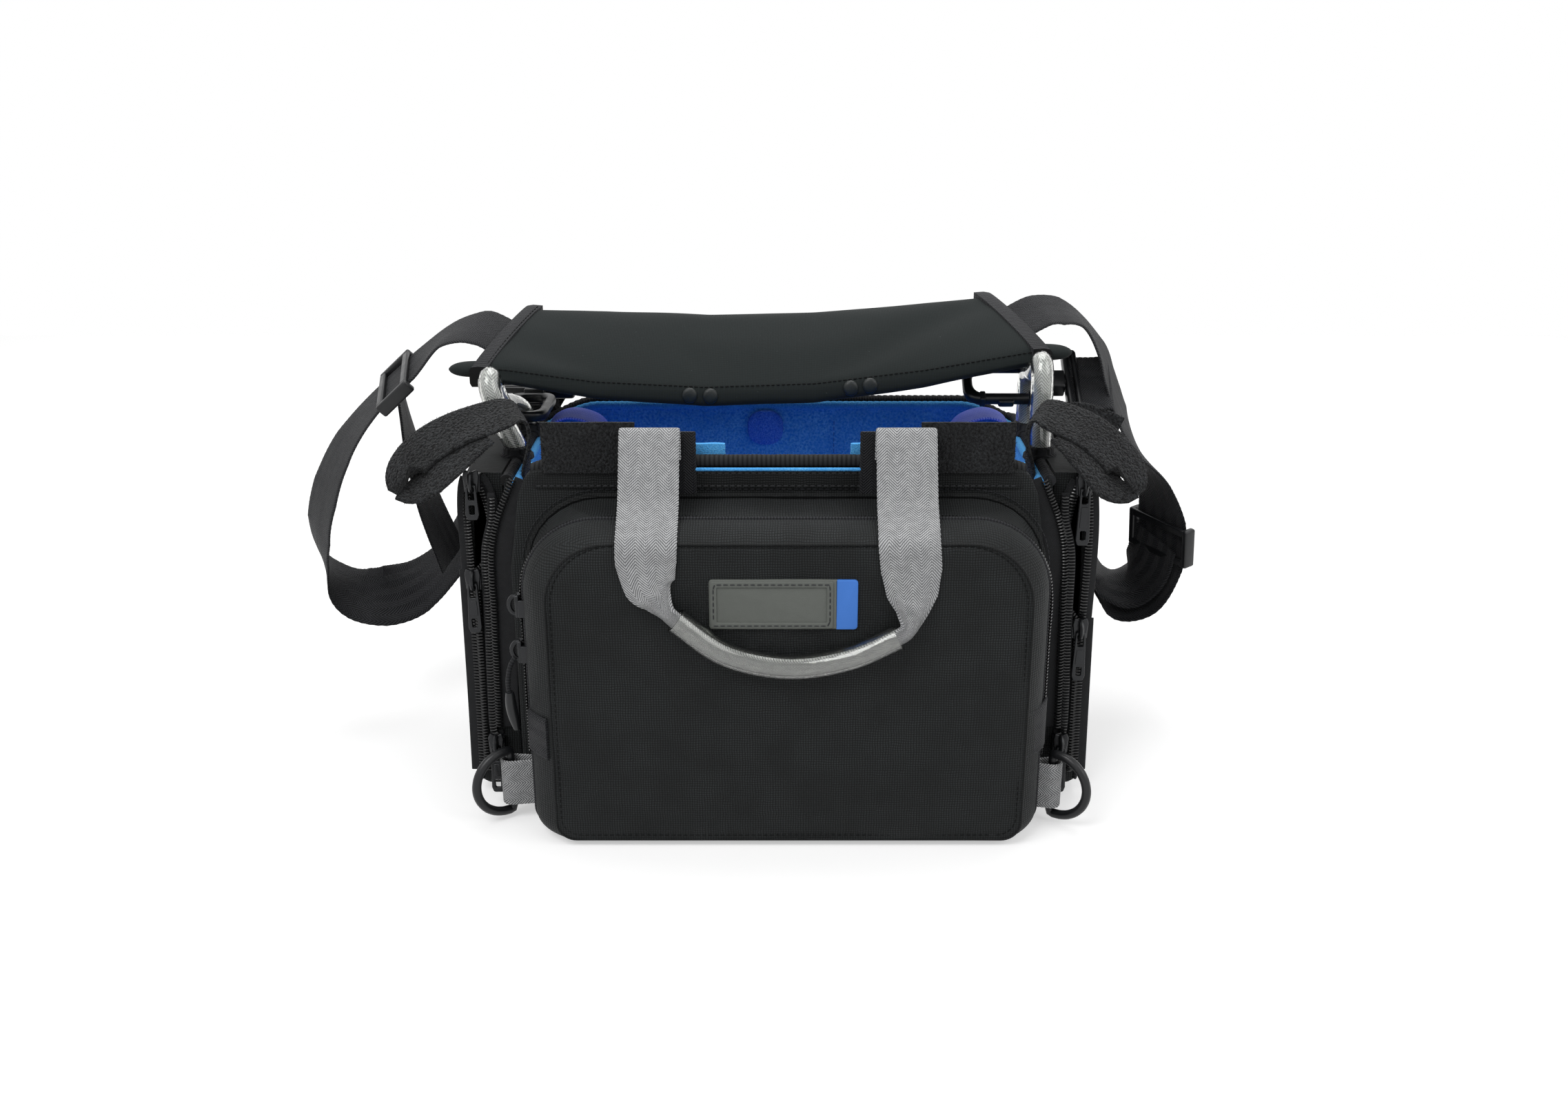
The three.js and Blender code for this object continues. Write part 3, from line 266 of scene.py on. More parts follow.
def relief(tree, shader, height, depth):
    """The surface rises and falls with a height from 0 to 1, by a depth in millimetres."""
    bump = add(tree, "Bump", {"Height": height, "Distance": depth * MM, "Strength": 1})
    tree.links.new(bump.outputs[0], shader.inputs["Normal"])


# ---------------------------------------------------------------- materials


def ballistic_nylon(name, low, high):
    """Textured nylon cloth in a two-by-two weave: a fine grain with a dull sheen, whose yarns
    wander a little. The real ones lie 0.55 mm apart; they are drawn coarser so that they show."""
    material, tree, shader = coated(name, 0.6, Sheen_Weight=0.03, Sheen_Roughness=0.5,
                                    Specular_IOR_Level=0.14)
    yarn_pitch = 1.3
    place = place_on_object(tree)
    drift = speckle(tree, place, 9, -0.3, 0.3)
    weft, warp = (threads(tree, add(tree, "Math", {0: way, 1: drift}, operation="ADD"), yarn_pitch)
                  for way in cloth_plane(tree, place))
    weave = add(tree, "Math", {0: weft, 1: warp}, operation="MULTIPLY")
    wear = speckle(tree, place, 18, 0.6, 1.0)
    worn = add(tree, "Math", {0: weave, 1: wear}, operation="MULTIPLY")
    colour_by(tree, shader, worn, low, high)
    relief(tree, shader, weave, 0.22)
    return material


def woven_strip(name, low, high, column, pitch, depth, roughness=0.6, sheen=0.04):
    """Herringbone webbing of nylon or polypropylene: slanted ribs that turn at each column,
    which catch the light as narrow chevrons. Rib pitch 1.2 mm, drawn a little coarser."""
    material, tree, shader = coated(name, roughness, Sheen_Weight=sheen, Sheen_Roughness=0.4,
                                    Specular_IOR_Level=0.15)
    across, along, place = strip_place(tree)
    chevron = add(tree, "Math", {0: across, 1: column}, operation="PINGPONG")
    slant = add(tree, "Math", {0: along, 1: chevron}, operation="ADD")
    rib = threads(tree, slant, pitch)
    yarn = add(tree, "Math", {0: threads(tree, across, pitch * 0.62), 1: 0.35, 2: 0.65},
               operation="MULTIPLY_ADD")
    height = add(tree, "Math", {0: rib, 1: yarn}, operation="MULTIPLY")
    wear = speckle(tree, place, 3.1, 0.75, 1.0)
    tone = add(tree, "Math", {0: height, 1: wear}, operation="MULTIPLY")
    colour_by(tree, shader, tone, low, high)
    relief(tree, shader, height, depth)
    return material


def ribbed_strip(name, low, high, pitch, depth, roughness=0.6):
    """Grosgrain binding: fine ribs across the strip that give a dull banded sheen."""
    material, tree, shader = coated(name, roughness, Sheen_Weight=0.04, Specular_IOR_Level=0.14)
    across, along = strip_place(tree)[:2]
    rib = threads(tree, along, pitch)
    yarn = add(tree, "Math", {0: threads(tree, across, 0.8), 1: 0.3, 2: 0.7}, operation="MULTIPLY_ADD")
    height = add(tree, "Math", {0: rib, 1: yarn}, operation="MULTIPLY")
    colour_by(tree, shader, height, low, high)
    relief(tree, shader, height, depth)
    return material


def napped(name, low, high, grain, depth, sheen=0.4, tint=None):
    """Brushed pile, such as velour, felt or loop tape: no gloss, a soft bright edge against
    the light and a mottled nap."""
    material, tree, shader = coated(name, 0.95, Sheen_Weight=sheen, Sheen_Roughness=0.6,
                                    Specular_IOR_Level=0.1)
    if tint:
        shader.inputs["Sheen Tint"].default_value = linear(tint)
    place = place_on_object(tree)
    fine = speckle(tree, place, grain, 0, 1)
    broad = speckle(tree, place, grain * 14, 0.55, 1.0)
    colour_by(tree, shader, add(tree, "Math", {0: fine, 1: broad}, operation="MULTIPLY"), low, high)
    relief(tree, shader, fine, depth)
    return material


def neoprene():
    """Neoprene faced with knitted jersey: smooth and soft, almost without gloss, with lint."""
    material, tree, shader = coated("neoprene_jersey", 0.78, Sheen_Weight=0.05, Sheen_Roughness=0.5,
                                    Specular_IOR_Level=0.08)
    place = place_on_object(tree)
    across, along = cloth_plane(tree, place)
    knit = add(tree, "Math", {0: threads(tree, across, 0.9), 1: threads(tree, along, 0.7)},
               operation="MULTIPLY")
    lint = add(tree, "TexNoise", {"Vector": place, "Scale": 0.55, "Detail": 4, "Roughness": 0.7})
    fleck = add(tree, "MapRange", {"Value": lint, 1: 0.7, 2: 0.75})
    shade = add(tree, "Math", {0: knit, 1: 0.12}, operation="MULTIPLY")
    tone = add(tree, "Math", {0: shade, 1: fleck}, operation="ADD", use_clamp=True)
    colour_by(tree, shader, tone, "#191d1d", "#4a5050")
    relief(tree, shader, knit, 0.03)
    return material


def moulded(name, colour, roughness, grain=0.6, depth=0.02, **sockets):
    """Injection-moulded plastic or cast metal under paint: even colour, a soft highlight and
    the faint unevenness of the mould."""
    material, tree, shader = coated(name, roughness, Base_Color=linear(colour), **sockets)
    place = place_on_object(tree)
    relief(tree, shader, speckle(tree, place, grain, 0, 1), depth)
    rough = speckle(tree, place, grain * 8, roughness * 0.85, min(1, roughness * 1.2))
    tree.links.new(rough.outputs[0], shader.inputs["Roughness"])
    return material


def clear_vinyl():
    """Clear extruded PVC hose: see-through, glossy, with a slight ripple from the die."""
    material, tree, shader = coated("pvc_clear_tube", 0.05, IOR=1.53, Transmission_Weight=1.0,
                                    Base_Color=linear("#f7f8f4"))
    relief(tree, shader, speckle(tree, place_on_object(tree), 6, 0, 1), 0.06)
    return material


NYLON = ballistic_nylon("nylon_ballistic_black", "#090a0a", "#2b2e2f")
NYLON_DARK = ballistic_nylon("nylon_ballistic_shaded", "#080909", "#202223")
WEBBING = woven_strip("nylon_webbing_black", "#060607", "#303134", 4.2, 1.5, 0.35)
ZIP_TAPE = woven_strip("polyester_zip_tape", "#0d0d0e", "#2a2b2d", 1.8, 0.9, 0.12)
GREY_WEBBING = woven_strip("polypropylene_webbing_grey", "#4a4b4d", "#c6c7c8", 5, 1.45, 0.4, 0.45, 0.06)
BLUE_WEBBING = woven_strip("nylon_webbing_blue", "#4458e0", "#8a9cff", 3, 1.5, 0.3)
BINDING = ribbed_strip("nylon_grosgrain_black", "#070708", "#2a2b2e", 1.6, 0.3)
RIM_KNIT = ribbed_strip("polyester_ribbed_knit", "#0c0c0d", "#2c2d2e", 2.4, 0.5, 0.8)
LOOP = napped("nylon_loop_tape", "#040405", "#2e3032", 1.3, 0.9, sheen=0.1)
VELOUR = napped("polyester_velour_blue", "#3a8fe6", "#74c0ff", 1.3, 0.3, tint="#6db4f5")
FELT = napped("polyester_felt_light_blue", "#3f97df", "#66b8f2", 0.7, 0.2, tint="#9bd2fb")
COIL = moulded("nylon_zip_coil", "#121213", 0.22, Specular_IOR_Level=0.5)
ACETAL = moulded("acetal_black", "#151618", 0.34, 1.2, 0.015, Specular_IOR_Level=0.35)
ZINC = moulded("zinc_painted_black", "#222325", 0.3, 0.9, 0.02, Metallic=0.55)
RUBBER = moulded("rubber_patch_grey", "#5e615d", 0.6, 0.5, 0.04, Specular_IOR_Level=0.2)
RUBBER_BLUE = moulded("rubber_patch_blue", "#4478c8", 0.6, 0.5, 0.03, Specular_IOR_Level=0.2)
RUBBER_DOT = moulded("rubber_dot_black", "#1c2020", 0.4, 0.5, 0.02, Specular_IOR_Level=0.3)
THREAD = moulded("polyester_thread_black", "#222326", 0.5, 0.4, 0.03, Specular_IOR_Level=0.3)
# Black thread made darker still where it lies in seam valleys: the extra darkness is painted shade of the
# valley.
THREAD_SEAM_SHADE = moulded("polyester_thread_painted_seam_shade", "#0a0b0b", 0.6, 0.4, 0.03, Specular_IOR_Level=0.1)
NEOPRENE = neoprene()
CLEAR = clear_vinyl()
BLUE_LOOP = napped("nylon_loop_blue", "#3a72e4", "#6fa2ff", 0.8, 0.3, tint="#6d9bf5")
# The blue lining velour darkened to navy as painted shade, for the lining deep inside a side pocket.
VELOUR_PAINTED_SHADE = napped("polyester_velour_blue_painted_shade", "#0e2a66", "#1f4f9e", 1.1, 0.18)
BLUE_THREAD = moulded("polyester_thread_blue", "#2e74c4", 0.6, 0.4, 0.03)
# Grey webbing inside the hoops, drawn lighter than the handle's grey webbing: the extra lightness is a
# painted highlight of the clear tubes' shine.
HOOP_WEBBING_PAINTED_SHINE = woven_strip("polypropylene_webbing_grey_painted_highlight", "#77797b", "#e4e5e7", 4, 1.5, 0.4, 0.35, 0.1)

# ---------------------------------------------------------------- shapes


class Shape:
    """Points in millimetres, faces, and each point's place on its cloth, across and along."""

    def __init__(self):
        self.points, self.faces, self.cloth = [], [], []

    def add(self, points, faces, cloth=None):
        start = len(self.points)
        self.points += [Vector(p) for p in points]
        self.faces += [[start + i for i in face] for face in faces]
        self.cloth += [tuple(c) for c in cloth] if cloth else [tuple(p) for p in points]
        return self

    def join(self, other):
        return self.add(other.points, other.faces, other.cloth)

    def mirrored(self, side):
        """The same shape on the bag's other side."""
        if side < 0:
            self.points = [Vector((-p.x, p.y, p.z)) for p in self.points]
        return self

    def placed(self, at, x_axis, y_axis):
        """A shape made at the origin, moved to at with its x and y axes put to two directions."""
        x = Vector(x_axis).normalized()
        z = x.cross(Vector(y_axis)).normalized()
        y = z.cross(x)
        self.points = [Vector(at) + x * p[0] + y * p[1] + z * p[2] for p in self.points]
        return self


def circle(sides):
    """The turns of a circle's points."""
    return [2 * math.pi * k / sides for k in range(sides)]


def loft(rings, cloth=None, cap=True):
    """A skin through rings of equally many points; caps close its two ends."""
    count = len(rings[0])
    points = [p for ring in rings for p in ring]
    faces = []
    for r in range(len(rings) - 1):
        for i in range(count):
            j = (i + 1) % count
            a, b = r * count + i, r * count + j
            faces.append((a, b, b + count, a + count))
    if cap:
        faces.append(tuple(range(count)))
        faces.append(tuple(range((len(rings) - 1) * count, len(rings) * count)))
    flat = [c for ring in cloth for c in ring] if cloth else None
    return Shape().add(points, faces, flat)


def mesh_from(name, shape, smooth=38):
    """A mesh in metres that keeps each point's place on its cloth."""
    mesh = bpy.data.meshes.new(name)
    mesh.from_pydata([p * MM for p in shape.points], [], shape.faces)
    kept = mesh.attributes.new("cloth", "FLOAT_VECTOR", "POINT")
    kept.data.foreach_set("vector", [x for c in shape.cloth for x in c])
    finish_mesh(mesh, smooth)
    return mesh


def finish_mesh(mesh, smooth=38):
    """Faces out, smooth, with hard edges above an angle in degrees."""
    work = bmesh.new()
    work.from_mesh(mesh)
    bmesh.ops.recalc_face_normals(work, faces=work.faces)
    work.to_mesh(mesh)
    work.free()
    mesh.shade_smooth()
    mesh.set_sharp_from_angle(angle=math.radians(smooth))


def place_object(name, mesh, material, body, replaces):
    """Puts a mesh in the scene, with the body it rides and the solids it stands for."""
    mesh.materials.clear()
    mesh.materials.append(material)
    piece = bpy.data.objects.new(name, mesh)
    bpy.context.scene.collection.objects.link(piece)
    if body:
        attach(piece, body)
    if replaces:
        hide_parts(*replaces)
    return piece


def make(name, shape, material, body, replaces=(), smooth=38):
    return place_object(name, mesh_from(name, shape, smooth), material, body, replaces)


def evaluated(piece):
    """The piece's mesh with its modifiers applied."""
    graph = bpy.context.evaluated_depsgraph_get()
    graph.update()
    return bpy.data.meshes.new_from_object(piece.evaluated_get(graph), depsgraph=graph)


# ---------------------------------------------------------------- routes and strips


def curve_point(points, t):
    """A point of the smooth centripetal curve through the points, t from 0 to 1."""
    place = t * (len(points) - 1)
    i = min(int(place), len(points) - 2)
    w = place - i
    b, c = points[i], points[i + 1]
    a = points[i - 1] if i else 2 * b - c
    d = points[i + 2] if i + 2 < len(points) else 2 * c - b
    ab, bc, cd = ((q - p).length ** 0.5 for p, q in ((a, b), (b, c), (c, d)))
    start = ((b - a) / ab - (c - a) / (ab + bc) + (c - b) / bc) * bc
    end = ((c - b) / bc - (d - b) / (bc + cd) + (d - c) / cd) * bc
    return (b + start * w + (3 * (c - b) - 2 * start - end) * w ** 2
            + (2 * (b - c) + start + end) * w ** 3)


class Station:
    """A place along a strip: its middle, the directions of its width and face, and its size."""

    def __init__(self, at, across, tangent, width, thickness, run):
        self.at, self.tangent, self.width, self.thickness, self.run = at, tangent, width, thickness, run
        self.across = (across - tangent * across.dot(tangent)).normalized()
        self.face = tangent.cross(self.across)

    def point(self, a, b):
        """a and b from -1 to 1 across the width and the thickness."""
        return self.at + self.across * (a * self.width / 2) + self.face * (b * self.thickness / 2)


def stations(route, step, width, thickness, fine=40):
    """route rows: x, y, z, the direction of the width, then an own width and thickness or none."""
    points = [Vector(row[:3]) for row in route]
    last = len(route) - 1
    samples = [curve_point(points, n / (last * fine)) for n in range(last * fine + 1)]
    runs = [0.0]
    for p, q in zip(samples, samples[1:]):
        runs.append(runs[-1] + (q - p).length)
    count = max(2, round(runs[-1] / step))
    found, n = [], 0
    for s in range(count + 1):
        run = runs[-1] * s / count
        while n < len(runs) - 2 and runs[n + 1] < run:
            n += 1
        share = (run - runs[n]) / max(1e-9, runs[n + 1] - runs[n])
        t = (n + share) / fine
        i = min(int(t), last - 1)
        w = t - i
        mixed = [a * (1 - w) + b * w for a, b in zip(
            (*route[i][3:6], *(route[i][6:] or (width, thickness))),
            (*route[i + 1][3:6], *(route[i + 1][6:] or (width, thickness))))]
        tangent = samples[min(n + 1, len(samples) - 1)] - samples[max(n - 1, 0)]
        found.append(Station(samples[n].lerp(samples[n + 1], share), Vector(mixed[:3]),
                             tangent.normalized(), mixed[3], mixed[4], run))
    return found


STRIP_HALF = [(-1, 0), (-0.975, -0.7), (-0.92, -1), (-0.7, -1), (-0.45, -1), (-0.2, -1), (0, -1),
              (0.2, -1), (0.45, -1), (0.7, -1), (0.92, -1), (0.975, -0.7)]
STRIP_PROFILE = STRIP_HALF + [(-a, -b) for a, b in STRIP_HALF]


def strip(route, width, thickness, step=1.4, picot=0.25, flutter=0.0, seed=0):
    """Webbing along a route, with a knotted selvedge and a slight waviness across."""
    rings, cloth = [], []
    for n, s in enumerate(stations(route, step, width, thickness)):
        grown = 1 + (picot * 2 / s.width if n % 2 else 0)
        ring = []
        for a, b in STRIP_PROFILE:
            wave = flutter * noise.noise(Vector((a * 1.2, s.run / 30, seed)))
            ring.append(s.point(a * (grown if abs(a) > 0.95 else 1), b) + s.face * wave)
        rings.append(ring)
        cloth.append([(a * width / 2, s.run, b) for a, b in STRIP_PROFILE])
    return loft(rings, cloth)


def tube(path, radius, sides, closed=False):
    """A round cord along points that lie close together. radius may be a function of the share."""
    points = [Vector(p) for p in path]
    count = len(points)
    rings, cloth, run = [], [], 0
    up = None
    for n, p in enumerate(points):
        after = points[(n + 1) % count] if closed else points[min(n + 1, count - 1)]
        before = points[n - 1] if closed or n else points[0]
        tangent = (after - before).normalized()
        if up is None:
            up = tangent.orthogonal().normalized()
        up = (up - tangent * up.dot(tangent)).normalized()
        other = tangent.cross(up)
        r = radius(n / (count - 1)) if callable(radius) else radius
        rings.append([p + (up * math.cos(a) + other * math.sin(a)) * r for a in circle(sides)])
        cloth.append([(2 * math.pi * r * k / sides, run, 0) for k in range(sides)])
        run += (after - p).length
    if closed:
        shape = loft(rings, cloth, cap=False)
        last = (count - 1) * sides
        shape.faces += [(last + i, last + (i + 1) % sides, (i + 1) % sides, i) for i in range(sides)]
        return shape
    return loft(rings, cloth)


def hose(route, outer, bore):
    """A tube with its bore, open at both ends."""
    sides = 20
    line = smooth_path(route, 2)
    skin, inside = tube(line, outer, sides), tube(line, bore, sides)
    shape = Shape()
    for layer in (skin, inside):
        shape.add(layer.points, layer.faces[:-2], layer.cloth)
    last = (len(line) - 1) * sides
    offset = len(skin.points)
    for start in (0, last):
        for k in range(sides):
            j = (k + 1) % sides
            shape.faces.append((start + k, start + j, offset + start + j, offset + start + k))
    return shape


def smooth_path(rows, step):
    """Even points on the smooth curve through a few."""
    return [s.at for s in stations([(*row, 0, 0, 1) for row in rows], step, 1, 1, fine=20)]


def even_path(points, step):
    """The same broken line with its points a step apart."""
    points = [Vector(p) for p in points]
    found, left = [points[0]], step
    for p, q in zip(points, points[1:]):
        length = (q - p).length
        while length and left <= length:
            found.append(p.lerp(q, left / length))
            left += step
        left -= length
    return found


def stitches(path, length=2.4, gap=1.0, radius=0.28):
    """A row of sewn stitches along a path: short bars of thread that dive in at both ends."""
    shape = Shape()
    line = even_path(path, length + gap)
    for p, q in zip(line, line[1:]):
        way = (q - p).normalized() * length
        bar = [p + way * t for t in (0, 0.12, 0.35, 0.65, 0.88, 1)]
        shape.join(tube(bar, lambda t: radius * (0.35 + 0.65 * math.sin(math.pi * (0.1 + 0.8 * t))), 5))
    return shape


def rectangle(left, low, right, high, radius):
    """Corners for an outline, all rounded alike."""
    return [(left, low, radius), (right, low, radius), (right, high, radius), (left, high, radius)]


def outline(corners, steps=6):
    """A closed outline through corners of x, z and rounding radius."""
    found = []
    count = len(corners)
    for n, (x, z, radius) in enumerate(corners):
        here = Vector((x, z))
        before = (Vector(corners[n - 1][:2]) - here)
        after = (Vector(corners[(n + 1) % count][:2]) - here)
        if radius <= 0:
            found.append(here)
            continue
        half = before.angle(after) / 2
        reach = min(radius / math.tan(half), before.length * 0.499, after.length * 0.499)
        start, end = here + before.normalized() * reach, here + after.normalized() * reach
        for k in range(steps + 1):
            t = k / steps
            found.append(start * (1 - t) ** 2 + here * 2 * t * (1 - t) + end * t * t)
    return found


def plate(outlines, low, high, rounding, rounds=2):
    """A flat piece with rounded edges: the first outline is its edge, the others are holes.
    It is drawn in x and y here, low to high along z."""
    data = bpy.data.curves.new("plate", "CURVE")
    data.dimensions = "2D"
    data.fill_mode = "BOTH"
    data.extrude = max(0.0001, (high - low) / 2 - rounding)
    data.bevel_depth = rounding
    data.bevel_resolution = rounds
    data.offset = -rounding
    for n, points in enumerate(outlines):
        area = sum(p[0] * q[1] - q[0] * p[1] for p, q in zip(points, points[1:] + points[:1]))
        if (area < 0) == (n == 0):
            points = points[::-1]
        spline = data.splines.new("POLY")
        spline.points.add(len(points) - 1)
        for target, p in zip(spline.points, points):
            target.co = (p[0], p[1], 0, 1)
        spline.use_cyclic_u = True
    carrier = bpy.data.objects.new("plate", data)
    bpy.context.scene.collection.objects.link(carrier)
    mesh = evaluated(carrier)
    work = bmesh.new()
    work.from_mesh(mesh)
    bmesh.ops.remove_doubles(work, verts=work.verts, dist=0.001)
    shape = Shape().add([v.co + Vector((0, 0, (low + high) / 2)) for v in work.verts],
                        [[v.index for v in f.verts] for f in work.faces])
    work.free()
    bpy.data.objects.remove(carrier)
    bpy.data.meshes.remove(mesh)
    bpy.data.curves.remove(data)
    return shape


def upright(shape):
    """A plate drawn in x and y stood up: its outline in X and Z, its depth along Y."""
    shape.points = [Vector((p.x, p.z, p.y)) for p in shape.points]
    shape.cloth = [(p.x, p.z, p.y) for p in shape.points]
    return shape


def standing_plate(corners, front, back, rounding, holes=(), steps=6):
    """A plate with its outline in X and Z between two depths."""
    lines = [outline(corners, steps)] + [outline(hole, steps) for hole in holes]
    return upright(plate(lines, front, back, rounding))


def carved(name, base, *cutters):
    """The base shape with closed shapes cut out of it."""
    target = bpy.data.objects.new(name, mesh_from(name, base))
    bpy.context.scene.collection.objects.link(target)
    tools = []
    for n, cutter in enumerate(cutters):
        tool = bpy.data.objects.new("cutter", mesh_from("cutter", cutter))
        bpy.context.scene.collection.objects.link(tool)
        modifier = target.modifiers.new(f"cut{n}", "BOOLEAN")
        modifier.operation = "DIFFERENCE"
        modifier.solver = "EXACT"
        modifier.object = tool
        tools.append(tool)
    mesh = evaluated(target)
    for o in tools + [target]:
        bpy.data.objects.remove(o)
    finish_mesh(mesh)
    return mesh


def box_ring(y, left, bottom, right, top, top_radius, bottom_radius, corner, edge):
    """The points of a rounded box in X and Z at a depth, from its bottom right corner round:
    corner and edge are the steps along each arc and each straight."""
    corners = [(right - bottom_radius, bottom + bottom_radius, bottom_radius, -90),
               (right - top_radius, top - top_radius, top_radius, 0),
               (left + top_radius, top - top_radius, top_radius, 90),
               (left + bottom_radius, bottom + bottom_radius, bottom_radius, 180)]
    arcs = []
    for x, z, radius, start in corners:
        turns = [math.radians(start + 90 * k / corner) for k in range(corner + 1)]
        arcs.append([Vector((x + radius * math.cos(a), y, z + radius * math.sin(a))) for a in turns])
    ring = []
    for arc, following in zip(arcs, arcs[1:] + arcs[:1]):
        ring += arc + [arc[-1].lerp(following[0], k / edge) for k in range(1, edge)]
    return ring


TOOTH_PITCH = 1.75
ROW_HALF = 1.6                   # half the reach of a row's teeth where the zip is open
ROW_SPACING = 3.7                # between the two rows of a corner zip


def teeth(line, outward, reach, radius):
    """One row of coil teeth: a bent loop of monofilament every pitch, with a head on its end.
    line holds each tooth's root, outward its direction over the tape, reach its length across."""
    shape = Shape()
    for p, q, o, r in zip(line, line[1:], outward, reach):
        along = (q - p).normalized() * 0.28
        path = [p - along + o * 0.1, p + r * 0.25 + o * 0.75, p + r * 0.7 + o * 0.95,
                p + r + o * 0.55 + along, p + r * 0.98 - o * 0.1 + along]
        shape.join(tube(path, lambda t: radius * (0.8 + 0.35 * (t > 0.6)), 5))
    return shape


# ---------------------------------------------------------------- case and lining


def wall_plan(half, back, front, radius):
    """Places and outward directions round the two sides and the back, seen from above."""
    step = 6
    left = [((-half, y), (-1, 0)) for y in (front, (front + back) / 2 - 20, (front + back) / 2 + 10)]
    corner = []
    for k in range(9):
        turn = math.pi - k * math.pi / 16
        out = (math.cos(turn), math.sin(turn))
        corner.append(((-half + radius + radius * out[0], back - radius + radius * out[1]), out))
    count = round(2 * (half - radius) / step)
    across = [((-half + radius + k * 2 * (half - radius) / count, back), (0, 1)) for k in range(1, count)]
    right = [((-p[0], p[1]), (-o[0], o[1])) for p, o in reversed(left + corner)]
    return [(Vector((*p, 0)), Vector((*o, 0))) for p, o in left + corner + across + right]


def wall_top(x):
    """The back edge is level in the middle and drops to the sides in a soft shoulder."""
    start = CAVITY_X - 0.5 - SHOULDER_RUN
    share = min(1, max(0, (abs(x) - start) / SHOULDER_RUN))
    return BACK_TOP - (BACK_TOP - SIDE_TOP) * share ** 2 * (1.6 - 0.6 * share)


def walls(half, back, thickness, bottom, drop, bulge, seams=()):
    """A padded wall round the sides and the back; bulge is how far its cloth swells between
    the seams, which are pressed in at their x."""
    rings = []
    levels = [k / 14 for k in range(15)]
    for p, out in wall_plan(half, back, SIDE_FRONT, PLAN_CORNER):
        top = wall_top(p.x) - drop
        ring = []
        for face, order in ((0, levels), (1, levels[::-1])):
            for t in order:
                z = bottom + t * (top - bottom)
                spot = Vector((p.x / 38, p.y / 38 + 5 * face, z / 38))
                swell = bulge * (math.sin(math.pi * t) ** 0.5 * 0.6 + 0.5 * noise.noise(spot))
                for seam in seams:
                    swell -= bulge * 1.4 * math.exp(-((p.x - seam) / 2.2) ** 2)
                edge = 0.35 * thickness * (t > 0.99)
                inward = thickness - edge + swell if face else edge - swell * 0.4
                ring.append(p - out * inward + Vector((0, 0, z - 0.6 * (t > 0.99) * (face == 0))))
        ring.insert(len(levels), p - out * thickness / 2 + Vector((0, 0, top + 0.5)))
        rings.append(ring)
    return loft(rings)


def floor_sheet(half, front, back, low, high):
    """A level sheet with the rounded back corners of the walls."""
    corners = [(-half, front, 2), (half, front, 2), (half, back, PLAN_CORNER), (-half, back, PLAN_CORNER)]
    return plate([outline(corners)], low, high, 1)


def corner_flange(side):
    """The nylon that carries the zip beside the front panel."""
    corners = [(SHELL_X - 2, 12, 0), (CORNER_ZIP_LINE[0][1] + 5, 12, 2)]
    corners += [(x + 5, z, 6) for z, x in CORNER_ZIP_LINE[:-1]]
    corners += [(SHELL_X - 2, CORNER_ZIP_LINE[-2][0] + 8, 4)]
    return standing_plate(corners, -62.6, -60.2, 0.8).mirrored(side)


def rim_binding(half, back, drop, radius, front):
    """A folded tape sewn over the wall's upper edge, with the bumps of its stitching."""
    rows = [(p.x, p.y, wall_top(p.x) - drop) for p, _ in wall_plan(half, back, front, PLAN_CORNER - 3)]
    path = smooth_path(rows, 1.2)
    return tube(path, lambda t: radius * (1 + 0.07 * math.sin(t * len(path) * 2.1)), 10)


def back_seams():
    """Piping down the two back corners."""
    shape = Shape()
    inset = PLAN_CORNER * 0.3        # from the sharp corner to the rounded one
    for side in (-1, 1):
        x = side * (SHELL_X - inset)
        y = SHELL_BACK - inset + 0.4
        shape.join(tube([(x, y, 8 + 9 * k) for k in range(20)], 1.3, 8))
    return shape


def make_case():
    shell = walls(SHELL_X, SHELL_BACK, WALL, 3.6, 1.2, 0.9)
    shell.join(floor_sheet(SHELL_X - 0.5, PANEL_BACK + 0.6, SHELL_BACK - 0.5, 3.4, 6.3))
    for side in (-1, 1):
        shell.join(corner_flange(side))
    make("body_shell_nylon", shell, NYLON, "root", ["body_shell"])
    binding = rim_binding(SHELL_X - WALL / 2, SHELL_BACK - WALL / 2, 2, 3.2, SIDE_FRONT + 1)
    make("shell_rim_binding", binding, BINDING, "root")
    make("back_corner_piping", back_seams(), BINDING, "root")
    sewn = Shape()
    for z in (180, 17):
        sewn.join(stitches([(x, SHELL_BACK + 0.75, z) for x in (-126, 126)], radius=0.32))
    make("back_panel_stitches", sewn, THREAD, "root")
    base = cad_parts["base_panel"].data.materials
    base.clear()
    base.append(NYLON)

    lining = walls(CAVITY_X + 2.5, CAVITY_BACK + 2.5, 2.5, 9.8, 2.2, 1.1, seams=(30.5,))
    lining.join(floor_sheet(CAVITY_X + 2, SIDE_FRONT + 0.3, CAVITY_BACK + 2, 9.7, 12.1))
    make("lining_velour", lining, VELOUR, "root", ["blue_lining"])
    felt = rim_binding(CAVITY_X + 0.9, CAVITY_BACK + 0.9, 3.6, 2.3, SIDE_FRONT + 1)
    make("lining_felt_edge", felt, FELT, "root")
    dot = plate([outline(rectangle(-10.5, -10.5, 10.5, 10.5, 10.4), 10)], 0, 2.4, 1)
    dot.placed((-8, CAVITY_BACK - 0.4, 178.5), (1, 0, 0), (0, 0, 1))
    make("lining_tape_dot", dot, BLUE_LOOP, "root")
    seam = stitches([(32.6, CAVITY_BACK - 1.2, z) for z in (20, 186)], radius=0.3)
    make("lining_seam_stitches", seam, BLUE_THREAD, "root")


# ---------------------------------------------------------------- zips


